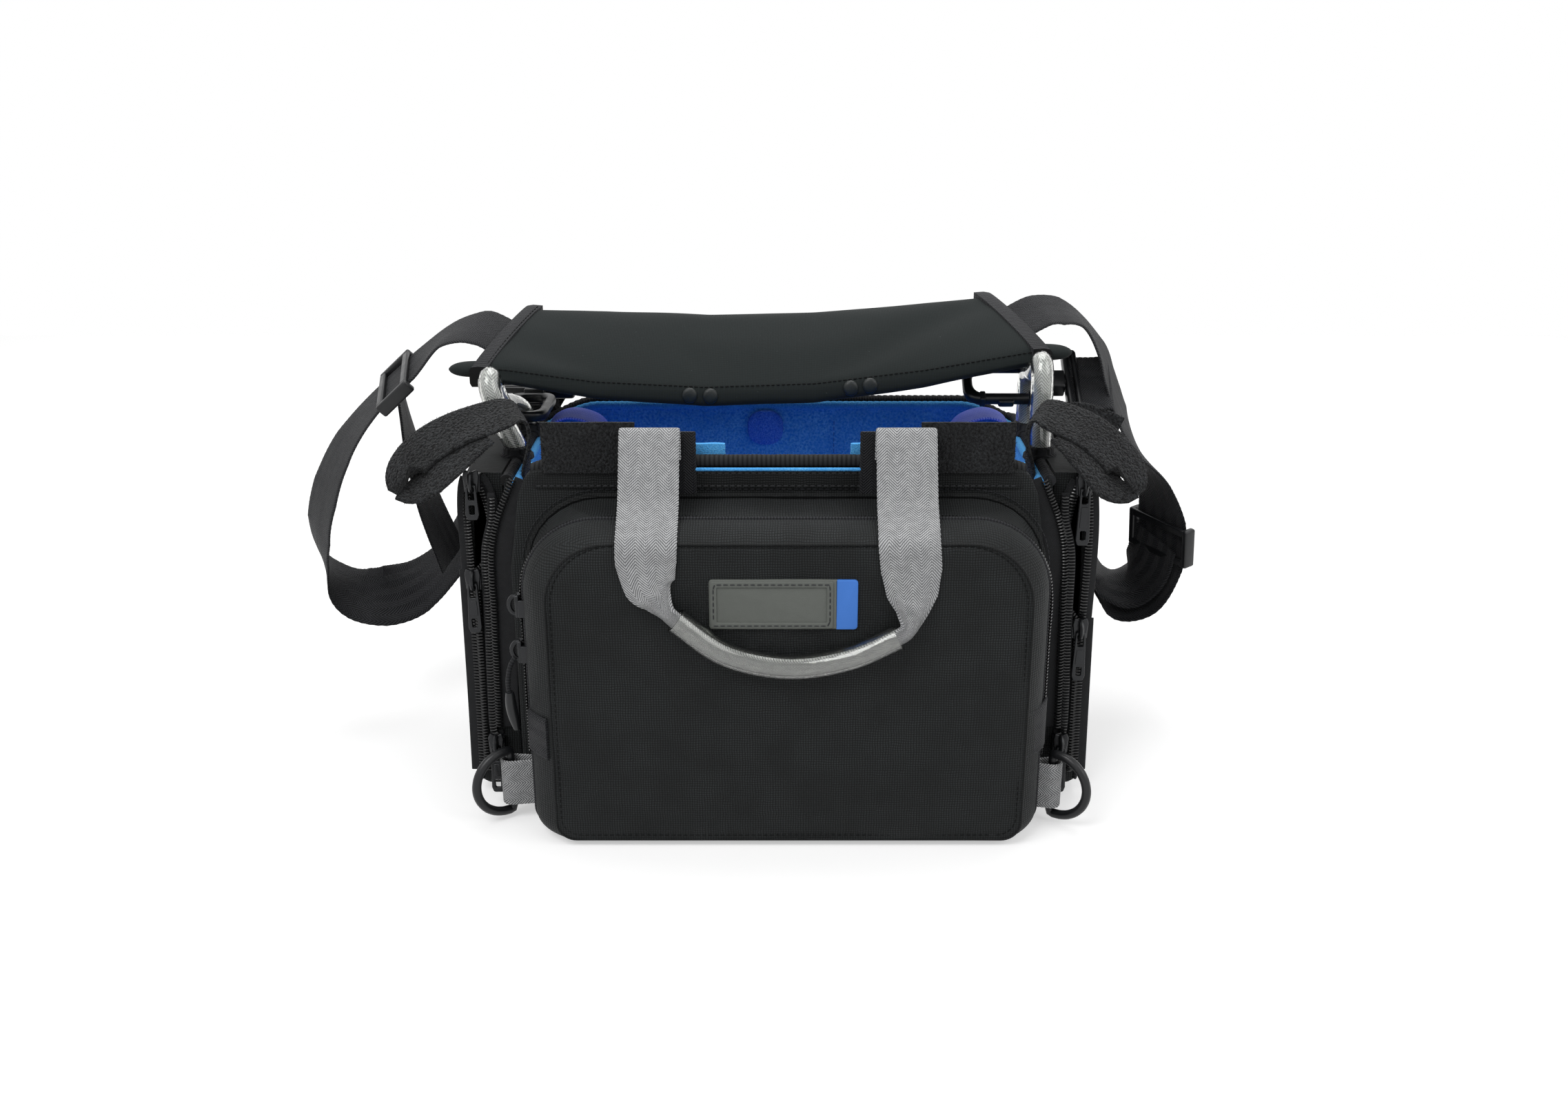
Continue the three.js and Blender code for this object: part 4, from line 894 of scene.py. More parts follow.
def coil(route, rows=(-1, 1), half=3.3, radius=0.62):
    """The teeth of a zip: two rows hooked into each other, or one row alone."""
    shape = Shape()
    line = stations(route, TOOTH_PITCH / 2, 1, 1)
    for row in rows:
        start = 0 if row < 0 else 1
        picked = line[start::2]
        roots = [s.at + s.across * (row * half) for s in picked]
        reach = [s.across * (-row * (half * 1.12 if len(rows) == 2 else half * 2)) for s in picked]
        shape.join(teeth(roots, [-s.face for s in picked], reach, radius))
    return shape


def tape(route, width, sink, lean=0):
    """The woven tape under a row of teeth, sunk behind it and shifted across by lean."""
    thickness = 0.9
    moved = []
    for s in stations(route, 4, width, thickness):
        at = s.at + s.face * sink + s.across * lean
        moved.append((*at, *s.across))
    return strip(moved, width, thickness, step=3, picot=0)


def corner_rows(side, offset, high):
    """The corner zip's open line up to a height, as rows of a route."""
    return [(side * (x + offset), CORNER_ZIP_Y, z, 1, 0, 0) for z, x in CORNER_ZIP_LINE if z <= high]


def make_corner_zip(name, side):
    """The rows of teeth on the front panel and on the case, hooked together below the slider."""
    row = corner_rows(side, 0, 186)
    make(f"corner_zip_front_teeth_{name}", coil(row, rows=(-side,), half=ROW_HALF), COIL, "front",
         [f"corner_zip_front_row_{name}"])
    make(f"corner_zip_front_tape_{name}", tape(row, 10, 1.2, lean=-side * 5.6), ZIP_TAPE, "front")
    middle = side * (CORNER_ZIP_LINE[0][1] + ROW_SPACING / 2)
    closed = [(middle, CORNER_ZIP_Y, z, 1, 0, 0) for z in (12.5, 27, 42)]
    open_row = corner_rows(side, ROW_SPACING, 163)
    open_row.insert(0, (open_row[0][0] - side * 0.4, CORNER_ZIP_Y, 40.5, 1, 0, 0))
    open_row.append((open_row[-1][0] - side, CORNER_ZIP_Y, 177, 1, 0, 0))
    chain = coil(closed).join(coil(open_row, rows=(side,), half=ROW_HALF))
    make(f"corner_zip_side_teeth_{name}", chain, COIL, "root",
         [f"corner_zip_side_row_{name}"])
    side_tape = tape(open_row, 4, 1.0, lean=side * 0.3).join(tape(closed, 6.6, 1.2))
    make(f"corner_zip_side_tape_{name}", side_tape, ZIP_TAPE, "root")


def pocket_zip_route(shift):
    """Up the right side of the front pocket, over its top and down the left side, shifted outwards."""
    low = 45
    left, right, top = POCKET_LEFT + 1.5 - shift, POCKET_RIGHT - 1.5 + shift, POCKET_TOP - 1.5 + shift
    radius = POCKET_TOP_RADIUS - 1.5 + shift
    points = [(right, low), (right, (low + top) / 2)]
    for side, edge in ((1, right), (-1, left)):
        arc = []
        for degrees in (0, 22.5, 45, 67.5, 90):
            turn = math.radians(degrees)
            arc.append((edge + side * radius * (math.cos(turn) - 1), top + radius * (math.sin(turn) - 1)))
        points += arc if side > 0 else [(0, top)] + arc[::-1]
    points += [(left, (low + top) / 2), (left, low)]
    return [(x, ZIP_MIDDLE_Y, z, 0, 1, 0) for x, z in points]


SLIDER_EDGE = [(-3.0, -6.5, 1), (3.0, -6.5, 1), (4.2, 2.6, 1.2), (3.4, 6.5, 1.2), (0, 4.7, 1),
               (-3.4, 6.5, 1.2), (-4.2, 2.6, 1.2)]


def slider_body():
    """A slider: two plates joined round the teeth, and the bridge that carries the pull.
    x is across, y up the zip, z out of it, and z 0 lies on the teeth."""
    shape = plate([outline(SLIDER_EDGE, 4)], 1.1, 3.2, 0.6)
    for side in (-1, 1):
        rail = outline([(side * 3.3 - 0.8, -6, 0.4), (side * 3.3 + 0.8, -6, 0.4),
                        (side * 3.7 + 0.8, 3.5, 0.4), (side * 3.7 - 0.8, 3.5, 0.4)], 3)
        shape.join(plate([rail], -2.6, 1.6, 0.4))
    arch = smooth_path([(0, -5.2, 2.4), (0, -4.4, 5.0), (0, -1.6, 6.6), (0, 1.8, 6.4), (0, 4.2, 4.6),
                        (0, 4.6, 2.6)], 0.7)
    return shape.join(tube(arch, 1.25, 8))


def pull_plate(length):
    """A cast pull: a tapered plate with a window under the bridge and a slot at its tip."""
    edge = outline([(-2.6, 0.9, 1.2), (-3.6, -length + 3, 1.5), (-2.6, -length, 1.4),
                    (2.6, -length, 1.4), (3.6, -length + 3, 1.5), (2.6, 0.9, 1.2)], 4)
    window = outline([(-1.5, -0.3, 0.8), (1.5, -0.3, 0.8), (1.6, -7.2, 0.8), (-1.6, -7.2, 0.8)], 3)
    slot = outline([(-1.5, -length + 8, 0.7), (1.5, -length + 8, 0.7), (1.3, -length + 3, 0.7),
                    (-1.3, -length + 3, 0.7)], 3)
    shape = plate([edge, window, slot], -0.8, 0.8, 0.45)
    inset = outline([(-1.7, -8.8, 0.5), (1.7, -8.8, 0.5), (2.1, -length + 9.8, 0.5),
                     (-2.1, -length + 9.8, 0.5)], 3)
    if length > 22:
        shape.join(plate([inset], 0.5, 1.05, 0.25))
    return shape


# zip, side, x, face of the zip, height, length of the pull
PULLED_SLIDERS = [
    ("corner", "left", 153.3, -65.9, 36, 26),
    ("corner", "right", 153.3, -65.9, 36, 26),
    ("side_upper", "left", 158, -59.7, 183, 18),
    ("side_upper", "right", 158, -59.7, 181, 30),
    ("side_lower", "left", 160.8, -59.7, 129, 27),
    ("side_lower", "right", 160.8, -59.7, 101, 27),
]
POCKET_SLIDERS = [("upper", 128), ("lower", 103)]
PULL_DROP = 2.2                  # from the slider's middle down to the pull's upper end


def make_sliders():
    for zip_name, side_name, x, face, z, length in PULLED_SLIDERS:
        side = -1 if side_name == "left" else 1
        node, pull_node = f"{zip_name}_slider_{side_name}", f"{zip_name}_pull_{side_name}"
        body = slider_body().placed((side * x, face - 0.3, z), (1, 0, 0), (0, 0, 1))
        make(f"{node}_cast", body, ZINC, node, [node])
        pull = pull_plate(length).placed((side * x, face - 4.8, z - PULL_DROP), (1, 0, 0), (0, 0, 1))
        make(f"{pull_node}_cast", pull, ZINC, pull_node, [pull_node])
    for name, z in POCKET_SLIDERS:
        node = f"front_pocket_slider_{name}"
        body = slider_body().placed((POCKET_LEFT - 0.6, ZIP_MIDDLE_Y, z), (0, -1, 0), (0, 0, 1))
        make(f"{node}_cast", body, ZINC, node, [node])


# ---------------------------------------------------------------- side pockets


def side_pocket_ring(side, z, inset):
    """One level of a side pocket, seen from above: straight in front, bulging outwards."""
    front, back, inner = SIDE_POCKET_FRONT + inset, SIDE_POCKET_BACK - inset, SIDE_POCKET_INNER + inset
    lift = (z - SIDE_POCKET_LOW) / (SIDE_POCKET_HIGH - SIDE_POCKET_LOW)
    reach = SIDE_POCKET_INNER + SIDE_POCKET_REACH - 3.5 * lift - inset
    bulge = 7.5 * math.sin(math.pi * (0.12 + 0.8 * lift)) + 0.5
    soft = max(0, 4 - min(z - SIDE_POCKET_LOW, SIDE_POCKET_HIGH - z)) / 4
    reach -= 3.2 * (1 - math.sqrt(1 - soft * soft * 0.98))
    quarter = [k * math.pi / 12 for k in range(7)]
    line = [(inner + (reach - 4 - inner) * k / 4, front) for k in range(4)]
    line += [(reach - 4 + 4 * math.sin(a), front + 4 - 4 * math.cos(a)) for a in quarter]
    line += [(reach, front + 4 + (back - 12 - front) * k / 14) for k in range(1, 14)]
    line += [(reach - 8 + 8 * math.cos(a), back - 8 + 8 * math.sin(a)) for a in quarter]
    line += [(reach - 8 - (reach - 8 - inner) * k / 4, back) for k in range(1, 5)]
    ring = []
    for x, y in line:
        share = (x - inner) / (reach - inner)
        belly = max(0, 1 - ((y - SIDE_POCKET_MIDDLE) / SIDE_POCKET_HALF) ** 2)
        fold = 0.8 * noise.noise(Vector((y / 24, z / 30, side * 3.0)))
        ring.append(Vector((side * (x + (bulge * belly + fold * belly) * share ** 4), y, z)))
    return ring


def pocket_levels(low, high):
    """Heights that lie close together at both ends, for the rounding there."""
    between = [low + 4 + (high - low - 8) * k / 18 for k in range(1, 18)]
    return [low, low + 1, low + 2.2, low + 4, *between, high - 4, high - 2.2, high - 1, high]


def eye_edge(side, eye, edge, offset, count=24):
    """One edge of the eye between the two sliders of a side zip."""
    points = []
    for k in range(count + 1):
        t = k / count
        straight = SIDE_ZIP_X + (SIDE_ZIP_TOP_X - SIDE_ZIP_X) * t
        x = straight + (edge - straight) * math.sin(math.pi * t) ** 0.6 + offset
        points.append((side * x, eye["low"] + t * (eye["high"] - eye["low"])))
    return points


def make_side_pocket(name, side):
    """A padded pocket cut open at its zip's eye, with its lining, zip and bound edges."""
    eye = EYES[name]
    low, high, wall = SIDE_POCKET_LOW, SIDE_POCKET_HIGH, SIDE_POCKET_WALL
    outer = loft([side_pocket_ring(side, z, 0) for z in pocket_levels(low, high)])
    inner = loft([side_pocket_ring(side, z, wall) for z in pocket_levels(low + wall, high - wall)])
    loop = eye_edge(side, eye, eye["inner"], 0) + eye_edge(side, eye, eye["outer"], 0)[::-1][1:-1]
    cutter = upright(plate([loop], -58, -52.5, 0.01, 0))
    mesh = carved("side_pocket", outer, inner, cutter)
    place_object(f"side_pocket_{name}_nylon", mesh, NYLON, "root", [f"side_pocket_{name}"])
    # Both pocket linings are painted shade: on the left a black sheet of zip-tape cloth stands for the
    # shaded inside, on the right the blue velour is darkened.
    lining = VELOUR_PAINTED_SHADE if side > 0 else ZIP_TAPE      # only the right one shows blue inside
    sheet = plate([outline(rectangle(-52, 10, 54, 181, 4))], 0, 0.9, 0.3)
    sheet.placed((side * 145.8, 0, 0), (0, side, 0), (0, 0, 1))
    make(f"side_pocket_{name}_lining", sheet, lining, "root")

    y = SIDE_ZIP_Y
    closed = [(side * 162.3, y, 14.5, 1, 0, 0), (side * 161.5, y, 60, 1, 0, 0),
              (side * SIDE_ZIP_X, y, eye["low"] + 1, 1, 0, 0)]
    shape = coil(closed)
    tapes = tape(closed, 16, 1.1)
    for edge, offset, row in (("inner", -ROW_HALF, -side), ("outer", ROW_HALF, side)):
        route = [(x, y, z, 1, 0, 0) for x, z in eye_edge(side, eye, eye[edge], offset, 12)]
        shape.join(coil(route, rows=(row,), half=ROW_HALF))
        tapes.join(tape(route, 6, 1.0, lean=row * 2.2))
    stop = plate([outline(rectangle(-3, -1.6, 3, 1.6, 0.6))], -1.2, 1.6, 0.5)
    shape.join(stop.placed((side * SIDE_ZIP_TOP_X, y, eye["high"] + 1), (1, 0, 0), (0, 0, 1)))
    make(f"side_zip_{name}_teeth", shape, COIL, "root", [f"side_zip_{name}"])
    make(f"side_zip_{name}_tape", tapes, ZIP_TAPE, "root")
    # the places of the front and the back edge in a ring
    for part, place, grown, radius in (("", 7, 0.4, 1.25), ("_back", 27, 0.3, 1.2)):
        edge = [side_pocket_ring(side, z, -grown)[place] for z in pocket_levels(8, 185)]
        make(f"side_pocket_{name}{part}_binding", tube(edge, radius, 8), BINDING, "root")


# ---------------------------------------------------------------- front panel


def make_front_panel():
    edge = [(-139, 5, 10), (139, 5, 10), (139, 138, 4), (133, 178, 6), (127, PANEL_TOP, 10)]
    edge += [(-x, z, r) for x, z, r in edge[:1:-1]]
    panel = standing_plate(edge, PANEL_FACE, PANEL_BACK, 1.6, steps=8)
    make("front_panel_nylon", panel, NYLON, "front", ["front_panel"])
    lining = [(-134.5, 11, 6), (134.5, 11, 6), (134.5, 138, 4), (130.5, 178, 4), (125, 191, 8)]
    lining += [(-x, z, r) for x, z, r in lining[:1:-1]]
    make("front_lining_velour", standing_plate(lining, -64.7, -62.3, 0.9, steps=8), VELOUR, "front",
         ["front_lining"])
    line = [(x, -64.9, 192.2) for x in (-126, -60, 0, 60, 126)]
    make("front_felt_edge", tube(smooth_path(line, 4), 1.9, 8), FELT, "front")

    hem = [(-126, 181.5, 3), (126, 181.5, 3), (122, 191.6, 6), (-122, 191.6, 6)]
    make("front_panel_hem", standing_plate(hem, PANEL_FACE - 0.7, PANEL_FACE + 0.6, 0.6), NYLON_DARK,
         "front")
    sewn = Shape()
    for z, half in ((183.4, 123), (190.2, 119)):
        sewn.join(stitches([(-half, PANEL_FACE - 0.85, z), (half, PANEL_FACE - 0.85, z)], radius=0.3))
    make("front_panel_stitches", sewn, THREAD, "front")

    piping = [(x, PANEL_FACE - 0.9, 192.2) for x in (-116, -58, 0, 58, 116)]
    make("front_panel_blue_piping", tube(smooth_path(piping, 3), 0.95, 8), FELT, "front")
    bound = Shape()
    for side in (-1, 1):
        rows = [(137.2, 12), (137.2, 60), (137.2, 134), (134, 160), (131.6, 177)]
        bound.join(tube(smooth_path([(side * x, -63.6, z) for x, z in rows], 3), 1.3, 8))
    make("front_panel_side_binding", bound, BINDING, "front")

    rim, cloth = [], []
    for n in range(2 * RIM_HALF + 1):
        x = n - RIM_HALF
        fall = max(0, abs(x) - 108) ** 1.5 * 0.06
        grown = 1 + 0.05 * (n % 2) + 0.04 * noise.noise(Vector((x / 9, 0, 0)))
        rim.append([Vector((x, -66.4 + 3.5 * grown * math.cos(a), 195.2 - fall + 3.2 * grown * math.sin(a)))
                    for a in (k * math.pi / 7 for k in range(14))])
        cloth.append([(k * 1.6, n, 0) for k in range(14)])
    make("front_rim_knit", loft(rim, cloth), RIM_KNIT, "front", ["front_rim"])


# ---------------------------------------------------------------- front pocket


def pocket_ring(y, grow, top=POCKET_TOP):
    """The gusset's outline, made larger or smaller all round."""
    return box_ring(y, POCKET_LEFT - grow, POCKET_BOTTOM - min(grow, 1), POCKET_RIGHT + grow,
                    top + grow, POCKET_TOP_RADIUS + grow, POCKET_BOTTOM_RADIUS + grow, 8, 12)


def cover_ring(share):
    """One ring of the cover's side wall, from its seam beside the zip to its face."""
    inset = share ** 1.8
    return box_ring(COVER_BACK + (COVER_FACE - COVER_BACK) * share, POCKET_LEFT + 1.2 + inset * 12.8,
                    POCKET_BOTTOM - 1, POCKET_RIGHT - 1.2 - inset * 9.8, 174.4 - inset * 7.4,
                    POCKET_TOP_RADIUS - inset * 6, POCKET_BOTTOM_RADIUS, 10, 14)


def rumple(p, depth, scale):
    """How uneven soft cloth is at a point: at most about its depth, in waves of a scale."""
    return depth * (noise.noise(p / scale) + 0.5 * noise.noise(p / (scale * 0.45) + Vector((7, 3, 1))))


def make_cover():
    rings = [[p + Vector((0, 2.0, 0)) for p in cover_ring(0.0)]]
    middle = Vector((3, 0, 137))     # the rings close behind the patch
    for k in range(25):
        share = k / 24
        ring = cover_ring(share)
        swell = 1.3 * math.sin(math.pi * share) ** 0.7
        out = []
        for p in ring:
            away = Vector((p.x - middle.x, 0, p.z - middle.z)).normalized()
            out.append(p + away * (swell * 0.5 + rumple(p, 0.6, 26) * math.sin(math.pi * share)))
        rings.append(out)
    rim = rings[-1]
    face_rings = 34
    for k in range(1, face_rings + 1):
        share = k / face_rings * 0.999
        ring = []
        for p in rim:
            q = Vector((p.x, 0, p.z)).lerp(middle, share ** 1.15)
            inward = (Vector((p.x, 0, p.z)) - q).length
            seam = 0.9 * math.exp(-((inward - 1.0) / 1.1) ** 2)
            crown = 2.3 * (1 - math.exp(-inward / 9)) + 1.4 * math.sin(math.pi * min(1, inward / 150))
            q.y = COVER_FACE + seam - crown * 0.62 + rumple(Vector((q.x, 0, q.z)), 0.75, 48)
            ring.append(q)
        rings.append(ring)
    make("front_pocket_cover_nylon", loft(rings), NYLON, "front", ["front_pocket_cover"],
         smooth=60)

    edge = [p + Vector((0, 0.35, 0)) for p in cover_ring(1.0)]
    make("cover_face_piping", tube(edge, 0.75, 6, closed=True), NYLON_DARK, "front")
    sewn = [p.lerp(Vector((middle.x, p.y, middle.z)), 0.022) + Vector((0, -0.55, 0))
            for p in cover_ring(1.0)]
    # these stitches are drawn near black as painted shade of the seam valley
    make("cover_stitches", stitches(sewn + sewn[:1], 2.2, 1.0, 0.24), THREAD_SEAM_SHADE, "front")
    seam = [p + Vector((0, 0.2, 0)) for p in cover_ring(0.0)]
    make("cover_zip_piping", tube(seam, 1.35, 8, closed=True), BINDING, "front")


def make_gusset():
    rings = []
    for k in range(9):
        t = k / 8
        top = POCKET_TOP + GUSSET_FLARE * t
        sag = -1.5 * math.sin(math.pi * t)
        ring = pocket_ring(GUSSET_FRONT + GUSSET_DEPTH * t, sag, top)
        rings.append([p + Vector((0, 0, rumple(p, 0.5, 22))) if p.z > 40 else p for p in ring])
    make("front_pocket_gusset_nylon", loft(rings), NYLON, "front", ["front_pocket_gusset"])
    foot = pocket_ring(PANEL_FACE - 1.2, 0.4, POCKET_TOP + GUSSET_FLARE)
    make("gusset_panel_piping", tube(foot, 1.5, 8, closed=True), NYLON_DARK, "front")
    lip = pocket_ring(GUSSET_FRONT + 0.2, -0.2)
    make("gusset_zip_piping", tube(lip, 1.25, 8, closed=True), BINDING, "front")
    sewn = [p for p in pocket_ring(PANEL_FACE - 0.6, 3.6, POCKET_TOP + GUSSET_FLARE) if p.z > 60]
    sewn = sorted(sewn, key=lambda p: math.atan2(p.z - 80, p.x - 4))
    make("gusset_stitches", stitches(sewn, 2.2, 1.0, 0.26), THREAD, "front")


def make_pocket_zip():
    route = pocket_zip_route(1.9)
    make("front_pocket_zip_teeth", coil(route, half=2.9, radius=0.7), COIL, "front",
         ["front_pocket_zip"])
    core = loft([pocket_ring(y, -3.2) for y in (COVER_BACK - 1, ZIP_MIDDLE_Y, GUSSET_FRONT + 1)])
    make("front_pocket_zip_tape", core, ZIP_TAPE, "front")
    levels = ((COVER_BACK - 0.6, -1.6), (-96.4, -2.3), (-93.4, -2.3), (GUSSET_FRONT + 0.6, -1.6))
    fold = loft([pocket_ring(y, grow) for y, grow in levels])
    fold.points = [Vector((p.x, p.y, min(p.z, 44))) for p in fold.points]
    make("front_pocket_hinge", fold, NYLON_DARK, "front")


# how far in from the pocket's edge, and Y: over the cover's slope, over the zip, on the gusset
TAB_SLOPE = [(11.5, -114.6), (8.6, -112), (4.6, -107.5), (0.6, -102)]
TAB_ZIP = [(-1.6, -95)]
TAB_GUSSET = [(-0.8, -89), (0.4, -84)]


def make_pocket_tabs():
    """The webbing sewn over the lower ends of the pocket's zip, with its stitched edges. On the
    left it leaves the zip free, because the lower slider runs there."""
    for name, side, x, low, high in (("left", -1, POCKET_LEFT, 50, 73), ("right", 1, POCKET_RIGHT, 50, 77)):
        runs = [TAB_SLOPE, TAB_GUSSET] if side < 0 else [TAB_SLOPE + TAB_ZIP + TAB_GUSSET]
        shape, sewn = Shape(), Shape()
        for run in runs:
            route = [(x - side * inward, y, (low + high) / 2, 0, 0, 1) for inward, y in run]
            shape.join(strip(route, high - low, 1.7))
            for z in (low + 1.6, high - 1.6):
                line = [(x - side * (inward - 1), y - 0.3, z) for inward, y in run]
                sewn.join(stitches(line, 2.2, 1, 0.26))
        make(f"pocket_zip_end_tab_{name}", shape, WEBBING, "front")
        make(f"pocket_zip_end_tab_{name}_stitches", sewn, THREAD, "front")


def make_patch():
    """A soft rubber patch, bare: a grey field with a raised stitched border and a blue end."""
    left, right, low, high, blue = -33.8, 39.2, 124, 150, 28.8
    y = COVER_FACE - 1.4
    grey = standing_plate([(left, low, 2), (blue + 0.3, low, 0.3), (blue + 0.3, high, 0.3), (left, high, 2)],
                          y - 1.8, y + 0.4, 0.5)
    border = rectangle(left + 0.6, low + 0.6, blue - 1.6, high - 0.6, 1.5)
    field = rectangle(left + 3.8, low + 3.8, blue - 4.8, high - 3.8, 0.8)
    grey.join(standing_plate(border, y - 2.5, y - 1.0, 0.4, holes=[field]))
    make("patch_grey_field", grey, RUBBER, "front", ["blank_patch"])
    end = standing_plate([(blue, low, 0.5), (right, low, 2), (right, high, 2), (blue, high, 0.5)],
                         y - 2.1, y + 0.4, 0.5)
    make("patch_blue_end", end, RUBBER_BLUE, "front")
    row = rectangle(left + 2.2, low + 2.2, blue - 3.2, high - 2.2, 0)
    loop = [(x, y - 2.6, z) for x, z, _ in row + row[:1]]
    make("patch_stitches", stitches(loop, 2.3, 1.0, 0.3), THREAD, "front")


# ---------------------------------------------------------------- tabs and handle


def fuzz(shape, count, length, seed):
    """Short bent fibres standing off a tape's faces."""
    draw = random.Random(seed)
    wide = [f for f in shape.faces if len(f) == 4]
    found = Shape()
    for _ in range(count):
        face = draw.choice(wide)
        a, b, c, d = (shape.points[i] for i in face)
        normal = (c - a).cross(d - b)
        if normal.length < 1e-6:
            continue
        normal.normalize()
        if draw.random() < 0.5:
            normal = -normal
        root = a.lerp(b, draw.random()).lerp(d.lerp(c, draw.random()), draw.random())
        lean = Vector((draw.uniform(-1, 1), draw.uniform(-1, 1), draw.uniform(-1, 1)))
        tip = root + (normal + lean * 0.6) * length * draw.uniform(0.6, 1.2)
        across = normal.cross(lean + Vector((0.01, 0, 0))).normalized() * 0.11
        bend = root.lerp(tip, 0.5) + across.cross(normal) * 1.8
        found.add([root - across, root + across, root - normal * 0.3, bend + across * 0.7, tip],
                  [(0, 1, 3), (1, 2, 3), (2, 0, 3), (0, 3, 4), (3, 1, 4), (0, 2, 1)])
    return found


def loop_tape(name, shape, body, replaced, count, seed):
    """A tape and the loops that stand on it."""
    make(f"{name}_tape", shape, LOOP, body, replaced)
    make(f"{name}_loops", fuzz(shape, count, 0.75, seed), LOOP, body)


def make_tabs(name, side):
    route = [(side * 95.75, -71.95 + lean, z, 1, 0, 0) for z, lean in
             ((190.5, 0), (198, -0.1), (206, 0.1), (216.8, 0.3))]
    shape = strip(route, 47.5, 1.8, step=2, picot=0.1, flutter=0.5, seed=side)
    loop_tape(f"rim_tab_{name}", shape, "front", [f"rim_tape_tab_{name}"], 2600, 11 + side)
    left, right = (-46, -27) if side < 0 else (37, 63)
    rows = ((172, -61.1), (186, -61.1), (196, -61.4), (203.3, -62.4))
    route = [((left + right) / 2, y, z, 1, 0, 0) for z, y in rows]
    shape = strip(route, right - left, 1.8, step=2, picot=0.1, flutter=0.6, seed=side + 5)
    make(f"divider_tab_{name}_felt", shape, FELT, "front", [f"divider_tab_{name}"])
    route = [(side * 56, -71.9, z, 1, 0, 0) for z in (179, 190, 200, 212)]
    make(f"handle_anchor_{name}_webbing", strip(route, 29, 1.7), WEBBING, "front",
         [f"handle_anchor_{name}"])


TUBE_Y = -124.1
TUBE_ROUTE = [(-50, TUBE_Y, 131), (-26, TUBE_Y, 113), (6, TUBE_Y, 106), (36, TUBE_Y, 111),
              (59, TUBE_Y, 122)]
# Y and Z of both strips
HANDLE_ROWS = [(-73.9, 198), (-74.3, 211), (-78.5, 215), (-82.9, 210), (-92, 193), (-98, 183),
               (-104.5, 177.4), (-111, 172.9), (-117.2, 167.3)]
# x, y, z, width and thickness where each strip folds into the tube
GATHER_ROWS = {
    -1: [(64, -118.8, 158, 29.6, 1.8), (62, -120, 146, 25, 2.6), (58.5, -121.8, 140.5, 15, 4.6)],
    1: [(65, -118.8, 155, 29.6, 1.8), (65.6, -120, 142, 25, 2.6), (65.4, -121.8, 133, 15, 4.6)],
}


def handle_route():
    """Up from the panel, over its top edge, down over the pocket and into the tube."""
    def half(side):
        rows = [(side * 64, y, z, -side, 0, 0, 30, 1.7) for y, z in HANDLE_ROWS]
        for x, y, z, width, thickness in GATHER_ROWS[side]:
            rows.append((side * x, y, z, -side, 0, 0, width, thickness))
        return rows
    middle = [(-53.5, TUBE_Y, 134.5), *TUBE_ROUTE, (63.4, TUBE_Y, 125.6)]
    rolled = [(x, y, z, 0, 0, 1, 8.2, 7.4) for x, y, z in middle]
    return half(-1) + rolled + half(1)[::-1]


def make_handle():
    rings, cloth = [], []
    for n, s in enumerate(stations(handle_route(), 1.4, 30, 1.7)):
        gather = min(1, max(0, (29 - s.width) / 18))
        ring = []
        for a, b in STRIP_PROFILE:
            if gather > 0:
                turn = math.atan2(b, a * 1.4)
                round_a, round_b = math.cos(turn), math.sin(turn)
                a2, b2 = a + (round_a - a) * gather, b + (round_b - b) * gather
            else:
                a2, b2 = a * (1 + 0.018 * (n % 2) * (abs(a) > 0.95)), b
            fold = math.sin(math.pi * gather) * 4.2 * (1 - abs(a2)) if gather < 1 else 0
            pleat = 0.5 * gather * math.cos(a2 * 9)
            ring.append(s.point(a2, b2) + s.face * (pleat * 0.3) + s.face * fold * 0.8)
        rings.append(ring)
        cloth.append([(a * 15, s.run, b) for a, b in STRIP_PROFILE])
    make("handle_webbing_grey", loft(rings, cloth), GREY_WEBBING, "handle",
         ["handle_webbing"], smooth=50)
    make("handle_clear_tube", hose(TUBE_ROUTE, 6.5, 5.1), CLEAR, "handle", ["handle_tube"])


# ---------------------------------------------------------------- corner rings


RING_BAR = {"left": (-143.5, -83, 22), "right": (146, -88, 22.5)}   # middle of the straight bar
RING_RADIUS = 2.5


def make_ring(name, side):
    x, y, z = RING_BAR[name]
    bow = [(3 + 17.5 * math.cos(a), 17.5 * math.sin(a)) for a in
           (math.radians(90 - 180 * k / 20) for k in range(21))]
    straight = outline([(3, -17.5, 0), (0, -17.5, 4.5), (0, 17.5, 4.5), (3, 17.5, 0)], 5)
    path = [(p[0], p[1], 0) for p in bow] + [(p[0], p[1], 0) for p in straight[1:-1]]
    path = [tuple(p) for p in even_path(path + path[:1], 1.8)]
    shape = tube(path, RING_RADIUS, 12, closed=True).placed((x, y, z), (side * 0.8, -0.6, 0), (0, 0, 1))
    make(f"corner_ring_{name}_acetal", shape, ACETAL, f"corner_ring_{name}",
         [f"corner_ring_{name}"], smooth=60)
    bend = RING_RADIUS * 1.3 + 0.3 + 0.8     # of the tab round the bar, to its middle line
    root = (POCKET_LEFT if side < 0 else POCKET_RIGHT) + side * 0.3
    rows = [(root, y + bend - 1.2), ((root + x) / 2, y + bend - 0.4), (x, y + bend),
            (x + side * bend * 0.7, y + bend * 0.7), (x + side * bend, y),
            (x + side * bend * 0.7, y - bend * 0.7), (x, y - bend), ((root + x) / 2, y - bend * 0.75),
            (root, y - bend * 0.5)]
    shape = strip([(a, b, z, 0, 0, 1) for a, b in rows], 26, 1.6, step=1.0)
    make(f"ring_tab_{name}_webbing", shape, GREY_WEBBING, "front", [f"ring_tab_{name}"])


